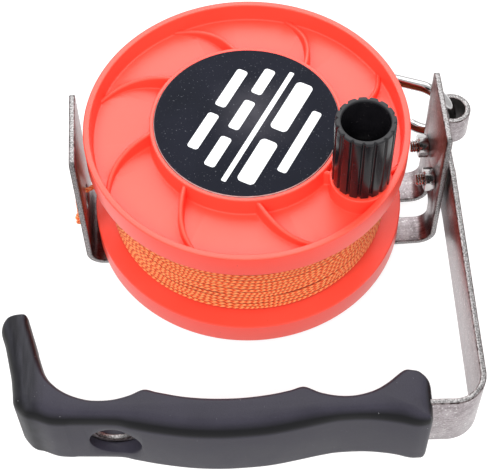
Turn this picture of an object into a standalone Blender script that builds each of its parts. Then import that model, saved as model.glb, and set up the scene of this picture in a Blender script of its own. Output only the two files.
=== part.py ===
"""Dive reel: an orange line spool in a stainless bracket, with a moulded pistol handle.

Metres, +Z up along the spool's axle. The origin is on the axle, on the underside of the
bracket's base. Minus Y is the handle's side, minus X is the line guide's side.
"""
import bpy
import bmesh
import math
from mathutils import Matrix, Vector

# Running gap between touching meshes, and how far a cutter overruns
GAP = 0.0003
OVERRUN = 0.002

# Facets
TURNED_SIDES = 60
SMALL_SIDES = 16
BEND_STEPS = 6

# Bracket: one steel strip bent up into a base and two ears
STEEL_THICKNESS = 0.0027
BRACKET_WIDTH = 0.042
LEFT_EAR_CLEARANCE = 0.0033
RIGHT_EAR_CLEARANCE = 0.014
EAR_RISE = 0.0031
BRACKET_BEND_RADIUS = 0.0062
EAR_CORNER_RADIUS = 0.0025
WINDOW_FRONT_Y = -0.0065
WINDOW_WIDTH = 0.0108
WINDOW_REACH = 0.0172
WINDOW_TOP_Z = 0.0168
WINDOW_CORNER_RADIUS = 0.0028
GUIDE_HOLE_RADIUS = 0.006
GUIDE_HOLE_Y = -0.002
GUIDE_HOLE_Z = 0.0315

# Spool
FLANGE_RADIUS = 0.075
FLANGE_HEIGHT = 0.0127
RIM_WALL = 0.003
WEB_THICKNESS = 0.0036
SLEEVE_REACH = 0.0009
WINDING_SPACE = 0.0456
DRUM_RADIUS = 0.038
DRUM_WALL = 0.003
DRUM_TOP_THICKNESS = 0.004
SLEEVE_RADIUS = 0.012
EDGE_ROUND = 0.0007

# Hub cup under the round cover
HUB_TO_BOSS = 0.0013
HUB_RING_WALL = 0.0017
HUB_RING_RISE = 0.0004
COVER_THICKNESS = 0.0017
COVER_PROUD = 0.0005
COVER_LEDGE = 0.0028
COVER_EDGE = 0.0004

# Spiral ribs of the flanges
RIB_COUNT = 8
RIB_THICKNESS = 0.0018
RIB_FIRST_ANGLE = math.radians(2.0)
RIB_SWEEP = math.radians(26.2)
RIB_STATIONS = 8
RIB_HUB_DROP = 0.0008
RIB_RIM_HEIGHT = 0.0012
RIB_TURN_SHARE = 0.67

# Winding knob and its boss
KNOB_ANGLE = math.radians(-35.7)
KNOB_BOSS_RADIUS = 0.0138
KNOB_RADIUS = 0.01315
KNOB_HEIGHT = 0.0388
KNOB_FLUTES = 16
KNOB_FLUTE_DEPTH = 0.0009
KNOB_FLUTE_SHARE = 0.26
KNOB_CUP_RADIUS = 0.0106
KNOB_CUP_FLOOR_RADIUS = 0.0092
KNOB_FLOOR = 0.007
KNOB_RIM_ROUND = 0.0009
KNOB_WASHER_RADIUS = 0.0068
KNOB_WASHER_THICKNESS = 0.0006
KNOB_SCREW_RADIUS = 0.0025
KNOB_SCREW_HEAD_RADIUS = 0.0052
KNOB_SCREW_HEAD = 0.003
KNOB_SCREW_REACH = 0.009

# Axle stud, its bushes, washers and nut
AXLE_RADIUS = 0.004
AXLE_SHOULDER_RADIUS = 0.009
AXLE_SHOULDER = 0.0014
BUSH_WALL = 0.0019
BUSH_LENGTH = 0.014
BUSH_COLLAR_RADIUS = 0.0095
BUSH_COLLAR = 0.0012
THRUST_WASHER_RADIUS = 0.0098
THRUST_WASHER_THICKNESS = 0.001
AXLE_WASHER_RADIUS = 0.0082
AXLE_WASHER_THICKNESS = 0.001
AXLE_NUT_RADIUS = 0.0072
AXLE_NUT_HEIGHT = 0.0034

# Screws that hold the upper flange on the drum
FLANGE_SCREW_COUNT = 3
FLANGE_SCREW_CIRCLE = 0.024
FLANGE_SCREW_RADIUS = 0.0016
FLANGE_SCREW_HEAD_RADIUS = 0.0032
FLANGE_SCREW_HEAD = 0.002
FLANGE_SCREW_LENGTH = 0.009

# Ratchet ring under the lower flange
TOOTH_COUNT = 24
TOOTH_TIP_RADIUS = 0.0494
TOOTH_ROOT_RADIUS = 0.0526
RATCHET_WALL = 0.0024
TOOTH_WIDTH = 0.0046
RATCHET_LIFT = 0.0008

# Line: a plain core and one outer layer of turns
LINE_DIAMETER = 0.0023
LINE_BELOW_RIM = 0.008
WINDING_TURNS = 17.5
WINDING_STEPS = 24

# Handle strap: a second steel strip bolted to the right ear
STRAP_WIDTH = 0.035
STRAP_MID_Z = 0.0394
STRAP_OFFSET = 0.001
STRAP_LEAN_START_Y = -0.022
STRAP_LEAN = math.radians(1.7)
STRAP_CORNER_RADIUS = 0.0135
HAND_ROOM = 0.0621
STRAP_FRONT_SLOPE = math.radians(2.6)
TANG_LENGTH = 0.1568
CURL_INNER_RADIUS = 0.0064
CURL_CENTRE_Y = 0.026
CURL_SWEEP = math.radians(292.0)
TONGUE_WIDTH = 0.016
TANG_HOLE_RADIUS = 0.009

# Bolts through the strap and the right ear
BOLT_SPACING = 0.02
BOLT_RADIUS = 0.003
BOLT_HEAD_RADIUS = 0.0055
BOLT_HEAD_HEIGHT = 0.0018
BOLT_HEAD_EDGE = 0.0005
BOLT_PROUD = 0.0038
NUT_FLATS = 0.01
NUT_HEIGHT = 0.0048
NUT_EDGE = 0.0006
BOLT_WASHER_RADIUS = 0.006
BOLT_WASHER_THICKNESS = 0.0008
SPACER_RADIUS = 0.0062

# Handle grip, moulded round the strap's tang
GRIP_SETBACK = 0.0245
GRIP_LENGTH = 0.182
GRIP_DEPTH = 0.0200
GRIP_BACK_COVER = 0.0096
GRIP_SIDE_WALL = 0.003
GRIP_EDGE_RADIUS = 0.0056
GRIP_EDGE_STEPS = 3
GRIP_SMOOTH_STEPS = 2
LANYARD_HOLE_RADIUS = 0.011
LANYARD_DISTANCE = 0.1343

# Snap hook held by the strap's curled end
SNAP_WIRE_RADIUS = 0.0028
SNAP_HALF_HEIGHT = 0.016
SNAP_FAR_RADIUS = 0.0105
SNAP_LENGTH = 0.060
SNAP_ANGLE = math.radians(150.0)
SNAP_ARC_STEPS = 10
SNAP_RESOLUTION = 3
SNAP_SIDES = 10
GATE_RADIUS = 0.0024
GATE_FREE_S = 0.0205
GATE_PIN_SETBACK = 0.015
GATE_END_GAP = 0.0004
GATE_PIN_RADIUS = 0.0009
HINGE_EYE_THICKNESS = 0.0018
HINGE_EYE_RADIUS = 0.0020
HINGE_ROOT = 0.0042

# Selector lever on the base, whose nose meets the ratchet
LEVER_PIVOT_X = 0.046
LEVER_PIVOT_Y = 0.0155
LEVER_THICKNESS = 0.0018
LEVER_WIDTH = 0.009
LEVER_PROUD = 0.013
LEVER_RIVET_RADIUS = 0.0022
LEVER_RIVET_HEAD_RADIUS = 0.0042
LEVER_RIVET_HEAD = 0.001
NOSE_CLEARANCE = 0.0008
NOSE_DEPTH = 0.0026
NOSE_WIDTH = 0.0042
NOSE_HEIGHT = 0.0085
TAB_LENGTH = 0.016
TAB_WIDTH = 0.014
TAB_HEIGHT = 0.0066
TAB_END_WALL = 0.003
TAB_CORNER_RADIUS = 0.0028

# Line tail from the winding to the guide hole, and its stopper knot
TAIL_DIAMETER = LINE_DIAMETER
TAIL_STEP = 0.0048
TAIL_ROUTE = (
    (-0.0312, 0.0610, 0.0336),
    (-0.0422, 0.0541, 0.0337),
    (-0.0516, 0.0453, 0.0338),
    (-0.0593, 0.0348, 0.0338),
    (-0.0649, 0.0232, 0.0338),
    (-0.0687, 0.0124, 0.0338),
    (-0.0719, 0.0050, 0.0338),
    (-0.0762, 0.0012, 0.0337),
    (-0.0801, 0.0000, 0.0329),
    (-0.0826, -0.0004, 0.0303),
    (-0.0834, -0.0006, 0.0264),
    (-0.0836, -0.0002, 0.0218),
    (-0.0838, 0.0004, 0.0172),
    (-0.0841, 0.0010, 0.0127),
)
KNOT_SIZE = (0.0054, 0.0066, 0.0080)

# Places that follow from the sizes above
BASE_TOP_Z = STEEL_THICKNESS
BRACKET_LEFT_X = -(FLANGE_RADIUS + LEFT_EAR_CLEARANCE + STEEL_THICKNESS)
EAR_INNER_X = FLANGE_RADIUS + RIGHT_EAR_CLEARANCE
BRACKET_RIGHT_X = EAR_INNER_X + STEEL_THICKNESS
WINDOW_INNER_X = BRACKET_RIGHT_X - WINDOW_REACH
SHOULDER_Z = BASE_TOP_Z + GAP
THRUST_Z = SHOULDER_Z + AXLE_SHOULDER + GAP
LOWER_BUSH_Z = THRUST_Z + THRUST_WASHER_THICKNESS + GAP
SLEEVE_Z = LOWER_BUSH_Z + BUSH_COLLAR + GAP
SPOOL_BOTTOM_Z = SLEEVE_Z + SLEEVE_REACH
LOWER_FLANGE_TOP_Z = SPOOL_BOTTOM_Z + FLANGE_HEIGHT
UPPER_FLANGE_Z = LOWER_FLANGE_TOP_Z + WINDING_SPACE
RIM_TOP_Z = UPPER_FLANGE_Z + FLANGE_HEIGHT
BRACKET_HEIGHT = RIM_TOP_Z + EAR_RISE
FLOOR_Z = UPPER_FLANGE_Z + WEB_THICKNESS
HUB_TOP_Z = RIM_TOP_Z + HUB_RING_RISE
COVER_TOP_Z = HUB_TOP_Z + COVER_PROUD
COVER_Z = COVER_TOP_Z - COVER_THICKNESS
BUSH_RADIUS = AXLE_RADIUS + GAP + BUSH_WALL
SLEEVE_BORE = BUSH_RADIUS + GAP
UPPER_COLLAR_Z = FLOOR_Z + GAP
AXLE_WASHER_Z = UPPER_COLLAR_Z + BUSH_COLLAR + GAP
AXLE_NUT_Z = AXLE_WASHER_Z + AXLE_WASHER_THICKNESS + GAP
AXLE_TOP_Z = AXLE_NUT_Z + AXLE_NUT_HEIGHT
SPACER_X = BRACKET_RIGHT_X + GAP
STRAP_INNER_X = SPACER_X + STRAP_OFFSET + GAP
STRAP_OUTER_X = STRAP_INNER_X + STEEL_THICKNESS
CURL_MID_RADIUS = CURL_INNER_RADIUS + STEEL_THICKNESS / 2
CURL_CENTRE_X = STRAP_INNER_X + STEEL_THICKNESS / 2 + CURL_MID_RADIUS
TONGUE_START_Y = CURL_CENTRE_Y - CURL_INNER_RADIUS
STRAP_FRONT_Y = -(FLANGE_RADIUS + HAND_ROOM)
GRIP_RIGHT_X = STRAP_INNER_X - GRIP_SETBACK
GRIP_BACK_Y = STRAP_FRONT_Y + GRIP_BACK_COVER
GRIP_HEIGHT = STRAP_WIDTH + 2 * GRIP_SIDE_WALL
TANG_END_X = GRIP_RIGHT_X - TANG_LENGTH
LANYARD_HOLE_X = GRIP_RIGHT_X - LANYARD_DISTANCE
GATE_PIN_S = SNAP_LENGTH - GATE_PIN_SETBACK
KNOB_CIRCLE_RADIUS = FLANGE_RADIUS - RIM_WALL / 2 - KNOB_BOSS_RADIUS
KNOB_X = KNOB_CIRCLE_RADIUS * math.cos(KNOB_ANGLE)
KNOB_Y = KNOB_CIRCLE_RADIUS * math.sin(KNOB_ANGLE)
HUB_RADIUS = KNOB_CIRCLE_RADIUS - KNOB_BOSS_RADIUS - HUB_TO_BOSS
COVER_RADIUS = HUB_RADIUS - HUB_RING_WALL - GAP
WINDING_RADIUS = FLANGE_RADIUS - LINE_BELOW_RIM
KNOB_WASHER_Z = RIM_TOP_Z + GAP
KNOB_Z = KNOB_WASHER_Z + KNOB_WASHER_THICKNESS + GAP
LEVER_Z = BASE_TOP_Z + GAP
LEVER_REACH = FLANGE_RADIUS + LEVER_PROUD
NOSE_OUTER_RADIUS = TOOTH_TIP_RADIUS - NOSE_CLEARANCE

# Handle outline, from its right end round the finger side, the hook and the palm side:
# shares of the grip's length to the left, and of its depth towards the spool
GRIP_OUTLINE_SHARES = (
    (0.0040, -0.652), (0.0002, -0.242), (0.0014, 0.060), (0.0192, 0.286), (0.0390, 0.355),
    (0.0615, 0.351), (0.1013, 0.096), (0.1344, -0.060), (0.1746, -0.142), (0.2136, -0.131),
    (0.2543, -0.033), (0.2927, 0.133), (0.3281, 0.068), (0.3706, 0.007), (0.4200, -0.027),
    (0.4641, -0.028), (0.5184, 0.008), (0.5734, 0.089), (0.6287, 0.224), (0.6637, 0.314),
    (0.7002, 0.195), (0.7368, 0.126), (0.7743, 0.130), (0.8045, 0.188), (0.8404, 0.337),
    (0.8702, 0.554), (0.8905, 0.815), (0.9049, 1.211), (0.9196, 1.702), (0.9310, 2.075),
    (0.9380, 2.290), (0.9615, 2.335), (0.9867, 2.249), (0.9996, 1.981), (0.9891, 1.576),
    (0.9774, 1.019), (0.9732, 0.801), (0.9695, 0.480), (0.9664, 0.198), (0.9531, -0.004),
    (0.9378, -0.136), (0.9150, -0.212), (0.8843, -0.334), (0.8520, -0.377), (0.8257, -0.382),
    (0.7368, -0.450), (0.6989, -0.552), (0.6424, -0.693), (0.5679, -0.832), (0.4988, -0.902),
    (0.4380, -0.915), (0.3773, -0.896), (0.3156, -0.822), (0.2535, -0.728), (0.2120, -0.689),
    (0.1488, -0.712), (0.0890, -0.816), (0.0498, -0.921), (0.0279, -0.931), (0.0098, -0.870),
)

MATERIALS = {}


def material(name, colour, roughness, metallic):
    """A plain finish, made once for each name."""
    if name not in MATERIALS:
        made = bpy.data.materials.new(name)
        made.use_nodes = True
        shader = made.node_tree.nodes["Principled BSDF"]
        shader.inputs["Base Color"].default_value = (*colour, 1.0)
        shader.inputs["Roughness"].default_value = roughness
        shader.inputs["Metallic"].default_value = metallic
        made.diffuse_color = (*colour, 1.0)
        MATERIALS[name] = made
    return MATERIALS[name]


def steel():
    return material("brushed_stainless", (0.52, 0.51, 0.50), 0.38, 1.0)


def bright_steel():
    return material("bright_fastener_steel", (0.66, 0.65, 0.64), 0.22, 1.0)


def orange_plastic():
    return material("orange_spool_plastic", (0.96, 0.13, 0.06), 0.42, 0.0)


def grip_plastic():
    return material("grip_plastic", (0.055, 0.055, 0.068), 0.55, 0.0)


def knob_plastic():
    return material("knob_plastic", (0.016, 0.016, 0.019), 0.35, 0.0)


def cover_plastic():
    return material("cover_plastic", (0.030, 0.030, 0.040), 0.40, 0.0)


def bearing_plastic():
    return material("bearing_nylon", (0.78, 0.77, 0.72), 0.50, 0.0)


def line_fibre():
    return material("braided_line", (0.90, 0.20, 0.06), 0.75, 0.0)


def smooth(mesh):
    mesh.shade_smooth()
    mesh.set_sharp_from_angle(angle=math.radians(35.0))


def add_object(name, mesh, finish, parent=None):
    """A named object in the scene, carrying one finish."""
    made = bpy.data.objects.new(name, mesh)
    bpy.context.scene.collection.objects.link(made)
    if finish is not None:
        mesh.materials.append(finish)
    if parent is not None:
        made.parent = parent
        made.matrix_parent_inverse = parent.matrix_world.inverted()
    return made


def object_from(name, bm, finish, parent=None):
    bmesh.ops.recalc_face_normals(bm, faces=bm.faces)
    mesh = bpy.data.meshes.new(name)
    bm.to_mesh(mesh)
    bm.free()
    smooth(mesh)
    return add_object(name, mesh, finish, parent)


def pivot(name, place):
    """An empty on a joint's axis, which the moving pieces hang on."""
    made = bpy.data.objects.new(name, None)
    bpy.context.scene.collection.objects.link(made)
    made.location = place
    bpy.context.view_layer.update()
    return made


def cutter_from(name, bm):
    made = object_from(name, bm, None)
    made.hide_render = True
    made.display_type = 'WIRE'
    return made


def boolean(target, other, operation='DIFFERENCE'):
    step = target.modifiers.new(other.name, 'BOOLEAN')
    step.operation = operation
    step.solver = 'EXACT'
    step.object = other


def turned(profile, sides=TURNED_SIDES, centre=(0.0, 0.0)):
    """A closed (radius, height) loop spun round the vertical through centre."""
    bm = bmesh.new()
    ring = [bm.verts.new((radius, 0.0, height)) for radius, height in profile]
    edges = [bm.edges.new((ring[i], ring[(i + 1) % len(ring)])) for i in range(len(ring))]
    bmesh.ops.spin(bm, geom=ring + edges, cent=(0, 0, 0), axis=(0, 0, 1),
                   angle=math.tau, steps=sides, use_merge=True)
    bmesh.ops.remove_doubles(bm, verts=bm.verts, dist=GAP / 100)
    bmesh.ops.translate(bm, verts=bm.verts, vec=(centre[0], centre[1], 0.0))
    return bm


def disc_profile(radius, low, high, edge=0.0):
    """A solid disc's half section, down its axis."""
    if edge == 0.0:
        return [(0.0, low), (radius, low), (radius, high), (0.0, high)]
    return [(0.0, low), (radius - edge, low), (radius, low + edge),
            (radius, high - edge), (radius - edge, high), (0.0, high)]


def tube_profile(inner, outer, low, high):
    return [(inner, low), (outer, low), (outer, high), (inner, high)]


def turned_solid(profile, sides=TURNED_SIDES, centre=(0.0, 0.0)):
    """Like turned, for a section whose first and last points lie on the axis."""
    bm = bmesh.new()
    ring = [bm.verts.new((radius, 0.0, height)) for radius, height in profile]
    edges = [bm.edges.new((ring[i], ring[i + 1])) for i in range(len(ring) - 1)]
    bmesh.ops.spin(bm, geom=ring + edges, cent=(0, 0, 0), axis=(0, 0, 1),
                   angle=math.tau, steps=sides, use_merge=True)
    bmesh.ops.remove_doubles(bm, verts=bm.verts, dist=GAP / 100)
    bmesh.ops.translate(bm, verts=bm.verts, vec=(centre[0], centre[1], 0.0))
    return bm


def prism(outline, low, high, axis='Z'):
    """An outline extruded along Z, or along X or Y with the outline in the other two axes."""
    bm = bmesh.new()
    if axis == 'Z':
        corners = [bm.verts.new((a, b, low)) for a, b in outline]
        reach = Vector((0.0, 0.0, high - low))
    elif axis == 'Y':
        corners = [bm.verts.new((a, low, b)) for a, b in outline]
        reach = Vector((0.0, high - low, 0.0))
    else:
        corners = [bm.verts.new((low, a, b)) for a, b in outline]
        reach = Vector((high - low, 0.0, 0.0))
    face = bm.faces.new(corners)
    grown = bmesh.ops.extrude_face_region(bm, geom=[face])
    moved = [item for item in grown["geom"] if isinstance(item, bmesh.types.BMVert)]
    bmesh.ops.translate(bm, verts=moved, vec=reach)
    return bm


def circle(radius, sides=SMALL_SIDES, centre=(0.0, 0.0)):
    return [(centre[0] + radius * math.cos(math.tau * i / sides),
             centre[1] + radius * math.sin(math.tau * i / sides)) for i in range(sides)]


def rounded_box(low, high, radius, along):
    """A box whose edges along one axis are rounded."""
    bm = bmesh.new()
    bmesh.ops.create_cube(bm, size=1.0)
    size = [high[i] - low[i] for i in range(3)]
    middle = [(high[i] + low[i]) / 2 for i in range(3)]
    bmesh.ops.scale(bm, verts=bm.verts, vec=size)
    bmesh.ops.translate(bm, verts=bm.verts, vec=middle)
    if radius > 0.0:
        edges = [edge for edge in bm.edges
                 if abs((edge.verts[0].co - edge.verts[1].co)[along]) > radius]
        bmesh.ops.bevel(bm, geom=edges, offset=radius, segments=4, profile=0.5,
                        affect='EDGES', material=-1)
    return bm


def arc(centre, radius, start, end, steps):
    return [(centre[0] + radius * math.cos(start + (end - start) * i / steps),
             centre[1] + radius * math.sin(start + (end - start) * i / steps))
            for i in range(steps + 1)]


def join(bm, other):
    """Adds other's shape to bm, as a separate body."""
    mesh = bpy.data.meshes.new("joined")
    other.to_mesh(mesh)
    other.free()
    bm.from_mesh(mesh)
    bpy.data.meshes.remove(mesh)
    return bm


def catmull_rom(points, steps, closed=False):
    """A smooth curve through the points, with steps pieces to each span."""
    count = len(points)
    spans = count if closed else count - 1
    result = []
    for i in range(spans):
        picks = [(i - 1) % count, i, (i + 1) % count, (i + 2) % count]
        if not closed:
            picks = [max(i - 1, 0), i, i + 1, min(i + 2, count - 1)]
        before, start, end, after = [Vector(points[k]) for k in picks]
        for step in range(steps):
            t = step / steps
            result.append(0.5 * (2 * start + (end - before) * t
                                 + (2 * before - 5 * start + 4 * end - after) * t * t
                                 + (3 * start - before - 3 * end + after) * t * t * t))
    if not closed:
        result.append(Vector(points[-1]))
    return result


def bracket_outline():
    """The bent strip seen along Y: down the left ear, along the base and up the right ear."""
    inner = BRACKET_BEND_RADIUS
    outer = inner + STEEL_THICKNESS
    left = (BRACKET_LEFT_X + outer, outer)
    right = (BRACKET_RIGHT_X - outer, outer)
    points = [(BRACKET_LEFT_X, BRACKET_HEIGHT)]
    points += arc(left, outer, math.pi, 1.5 * math.pi, BEND_STEPS)
    points += arc(right, outer, -0.5 * math.pi, 0.0, BEND_STEPS)
    points += [(BRACKET_RIGHT_X, BRACKET_HEIGHT), (EAR_INNER_X, BRACKET_HEIGHT)]
    points += arc(right, inner, 0.0, -0.5 * math.pi, BEND_STEPS)
    points += arc(left, inner, 1.5 * math.pi, math.pi, BEND_STEPS)
    points += [(BRACKET_LEFT_X + STEEL_THICKNESS, BRACKET_HEIGHT)]
    return points


def make_bracket():
    half = BRACKET_WIDTH / 2
    bm = prism(bracket_outline(), -half, half, 'Y')
    corners = [edge for edge in bm.edges
               if all(abs(vert.co.z - BRACKET_HEIGHT) < GAP for vert in edge.verts)
               and abs(edge.verts[0].co.y - edge.verts[1].co.y) < GAP]
    bmesh.ops.bevel(bm, geom=corners, offset=EAR_CORNER_RADIUS, segments=4, profile=0.5,
                    affect='EDGES', material=-1)
    bracket = object_from("bracket", bm, steel())
    window = rounded_box((WINDOW_INNER_X, WINDOW_FRONT_Y, -OVERRUN),
                         (EAR_INNER_X, WINDOW_FRONT_Y + WINDOW_WIDTH,
                          BASE_TOP_Z + OVERRUN), WINDOW_CORNER_RADIUS, 2)
    ear_window = rounded_box((EAR_INNER_X - BRACKET_BEND_RADIUS - OVERRUN, WINDOW_FRONT_Y,
                              -OVERRUN),
                             (BRACKET_RIGHT_X + OVERRUN, WINDOW_FRONT_Y + WINDOW_WIDTH,
                              WINDOW_TOP_Z), WINDOW_CORNER_RADIUS, 0)
    boolean(bracket, cutter_from("window_in_base", window))
    boolean(bracket, cutter_from("window_in_ear", ear_window))
    guide = prism(circle(GUIDE_HOLE_RADIUS, SMALL_SIDES, (GUIDE_HOLE_Y, GUIDE_HOLE_Z)),
                  BRACKET_LEFT_X - OVERRUN, BRACKET_LEFT_X + STEEL_THICKNESS + OVERRUN, 'X')
    boolean(bracket, cutter_from("guide_hole", guide))
    boolean(bracket, cutter_from("ear_bolt_holes", bolt_cylinders(
        BOLT_RADIUS + GAP, EAR_INNER_X - OVERRUN, BRACKET_RIGHT_X + OVERRUN)))


def bolt_cylinders(radius, low_x, high_x):
    """One cylinder along X at each of the two bolts."""
    bm = bmesh.new()
    for side in (-1, 1):
        centre = (side * BOLT_SPACING / 2, STRAP_MID_Z)
        join(bm, prism(circle(radius, SMALL_SIDES, centre), low_x, high_x, 'X'))
    return bm


def make_bolt(number, side):
    """A low-headed bolt from outside, with its washer, spacer and nut, beside the middle."""
    corner = NUT_FLATS / 2 / math.cos(math.pi / 6)
    centre = (side * BOLT_SPACING / 2, STRAP_MID_Z)
    washer_x = STRAP_OUTER_X + GAP
    head_x = washer_x + BOLT_WASHER_THICKNESS + GAP
    nut_x = EAR_INNER_X - GAP
    tip_x = nut_x - NUT_HEIGHT - BOLT_PROUD
    head_far = head_x + BOLT_HEAD_HEIGHT
    profile = [(0.0, tip_x), (BOLT_RADIUS - NUT_EDGE, tip_x), (BOLT_RADIUS, tip_x + NUT_EDGE),
               (BOLT_RADIUS, head_x), (BOLT_HEAD_RADIUS, head_x),
               (BOLT_HEAD_RADIUS, head_far - BOLT_HEAD_EDGE),
               (BOLT_HEAD_RADIUS - 2 * BOLT_HEAD_EDGE, head_far), (0.0, head_far)]
    shank = turned_solid(profile, SMALL_SIDES)
    bmesh.ops.rotate(shank, verts=shank.verts, cent=(0, 0, 0),
                     matrix=Matrix.Rotation(math.pi / 2, 3, 'Y'))
    bmesh.ops.translate(shank, verts=shank.verts, vec=(0.0, centre[0], centre[1]))
    object_from(f"strap_bolt_{number}", shank, bright_steel())
    bore = prism(circle(BOLT_RADIUS + GAP, SMALL_SIDES, centre), tip_x, head_x, 'X')
    cutter = cutter_from(f"bolt_bore_{number}", bore)
    spacer_far = SPACER_X + STRAP_OFFSET
    washer_far = washer_x + BOLT_WASHER_THICKNESS
    for name, radius, sides, low, high, finish in (
            ("strap_nut", corner, 6, nut_x - NUT_HEIGHT, nut_x, bright_steel()),
            ("strap_spacer", SPACER_RADIUS, SMALL_SIDES, SPACER_X, spacer_far, bearing_plastic()),
            ("bolt_washer", BOLT_WASHER_RADIUS, SMALL_SIDES, washer_x, washer_far,
             bright_steel())):
        ring = prism(circle(radius, sides, centre), low, high, 'X')
        made = object_from(f"{name}_{number}", ring, finish)
        boolean(made, cutter)


def strap_path():
    """The strap's middle line in plan, from the curl's free end to the end of the tang."""
    centre = (CURL_CENTRE_X, CURL_CENTRE_Y)
    points = arc(centre, CURL_MID_RADIUS, math.pi - CURL_SWEEP, math.pi, 3 * BEND_STEPS)
    points.append((STRAP_INNER_X + STEEL_THICKNESS / 2, STRAP_LEAN_START_Y))
    heading = -math.pi / 2 - STRAP_LEAN
    last_heading = -math.pi - STRAP_FRONT_SLOPE
    corner_x = points[-1][0] + math.tan(STRAP_LEAN) * (STRAP_FRONT_Y - points[-1][1])
    turn = abs(last_heading - heading)
    setback = STRAP_CORNER_RADIUS * math.tan(turn / 2)
    corner = Vector((corner_x, STRAP_FRONT_Y))
    enter = corner - setback * Vector((math.cos(heading), math.sin(heading)))
    normal = Vector((math.sin(heading), -math.cos(heading)))
    middle = enter + STRAP_CORNER_RADIUS * normal
    first = math.atan2(enter.y - middle.y, enter.x - middle.x)
    points += arc(middle, STRAP_CORNER_RADIUS, first, first - turn, BEND_STEPS)
    run = points[-1][0] - TANG_END_X
    points.append((TANG_END_X, points[-1][1] + run * math.tan(STRAP_FRONT_SLOPE)))
    return points


def offset_path(points, distance):
    """The path moved to its left by distance, square to each pair of pieces."""
    result = []
    for i, point in enumerate(points):
        before = Vector(points[max(i - 1, 0)])
        after = Vector(points[min(i + 1, len(points) - 1)])
        here = Vector(point)
        first = (here - before).normalized() if i > 0 else (after - here).normalized()
        second = (after - here).normalized() if i < len(points) - 1 else first
        side = Vector((-(first + second).y, (first + second).x)).normalized()
        reach = distance / max(side.dot(Vector((-first.y, first.x))), 0.5)
        result.append(tuple(here + side * reach))
    return result


def strip_outline(points, thickness):
    left = offset_path(points, thickness / 2)
    right = offset_path(points, -thickness / 2)
    return left + right[::-1]


def lanyard_cylinder(radius):
    reach = 2 * GRIP_DEPTH
    outline = circle(radius, SMALL_SIDES, (LANYARD_HOLE_X, STRAP_MID_Z))
    return prism(outline, GRIP_BACK_Y - reach, GRIP_BACK_Y + reach, 'Y')


def make_strap():
    low = STRAP_MID_Z - STRAP_WIDTH / 2
    high = STRAP_MID_Z + STRAP_WIDTH / 2
    strap = object_from("handle_strap", prism(strip_outline(strap_path(), STEEL_THICKNESS),
                                              low, high), steel())
    reach = CURL_CENTRE_X + CURL_MID_RADIUS + STEEL_THICKNESS
    far = CURL_CENTRE_Y + CURL_MID_RADIUS + STEEL_THICKNESS
    beside = bmesh.new()
    join(beside, rounded_box((STRAP_OUTER_X + GAP, CURL_CENTRE_Y - CURL_MID_RADIUS
                              - STEEL_THICKNESS, low - OVERRUN),
                             (reach, far, STRAP_MID_Z - TONGUE_WIDTH / 2), 0.0, 2))
    join(beside, rounded_box((STRAP_OUTER_X + GAP, CURL_CENTRE_Y - CURL_MID_RADIUS
                              - STEEL_THICKNESS, STRAP_MID_Z + TONGUE_WIDTH / 2),
                             (reach, far, high + OVERRUN), 0.0, 2))
    boolean(strap, cutter_from("beside_curl", beside))
    shoulder = bmesh.new()
    join(shoulder, rounded_box((STRAP_INNER_X - OVERRUN, TONGUE_START_Y, low - OVERRUN),
                               (STRAP_OUTER_X + OVERRUN, far, STRAP_MID_Z - TONGUE_WIDTH / 2),
                               0.0, 2))
    join(shoulder, rounded_box((STRAP_INNER_X - OVERRUN, TONGUE_START_Y,
                                STRAP_MID_Z + TONGUE_WIDTH / 2),
                               (STRAP_OUTER_X + OVERRUN, far, high + OVERRUN), 0.0, 2))
    boolean(strap, cutter_from("beside_tongue", shoulder))
    boolean(strap, cutter_from("strap_bolt_holes", bolt_cylinders(
        BOLT_RADIUS + GAP, STRAP_INNER_X - OVERRUN, STRAP_OUTER_X + OVERRUN)))
    boolean(strap, cutter_from("tang_hole", lanyard_cylinder(TANG_HOLE_RADIUS)))


def grip_outline():
    points = [(GRIP_RIGHT_X - along * GRIP_LENGTH, GRIP_BACK_Y + across * GRIP_DEPTH)
              for along, across in GRIP_OUTLINE_SHARES]
    return [tuple(point) for point in catmull_rom(points, GRIP_SMOOTH_STEPS, closed=True)]


def make_grip():
    """The moulded handle: finger grooves, a hook at its end and a lanyard hole."""
    low = STRAP_MID_Z - GRIP_HEIGHT / 2
    high = STRAP_MID_Z + GRIP_HEIGHT / 2
    bm = prism(grip_outline(), low, high)
    rims = [edge for edge in bm.edges
            if abs(edge.verts[0].co.z - edge.verts[1].co.z) < GAP]
    bmesh.ops.bevel(bm, geom=rims, offset=GRIP_EDGE_RADIUS, segments=GRIP_EDGE_STEPS,
                    profile=0.5, affect='EDGES', clamp_overlap=True, material=-1)
    bmesh.ops.remove_doubles(bm, verts=bm.verts, dist=GAP / 3)
    grip = object_from("handle_grip", bm, grip_plastic())
    path = strap_path()
    tang = [path[-2], (TANG_END_X - GAP, path[-1][1])]
    cavity = prism(strip_outline(tang, STEEL_THICKNESS + 2 * GAP),
                   STRAP_MID_Z - STRAP_WIDTH / 2 - GAP, STRAP_MID_Z + STRAP_WIDTH / 2 + GAP)
    boolean(grip, cutter_from("tang_cavity", cavity))
    boolean(grip, cutter_from("lanyard_hole", lanyard_cylinder(LANYARD_HOLE_RADIUS)))


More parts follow.
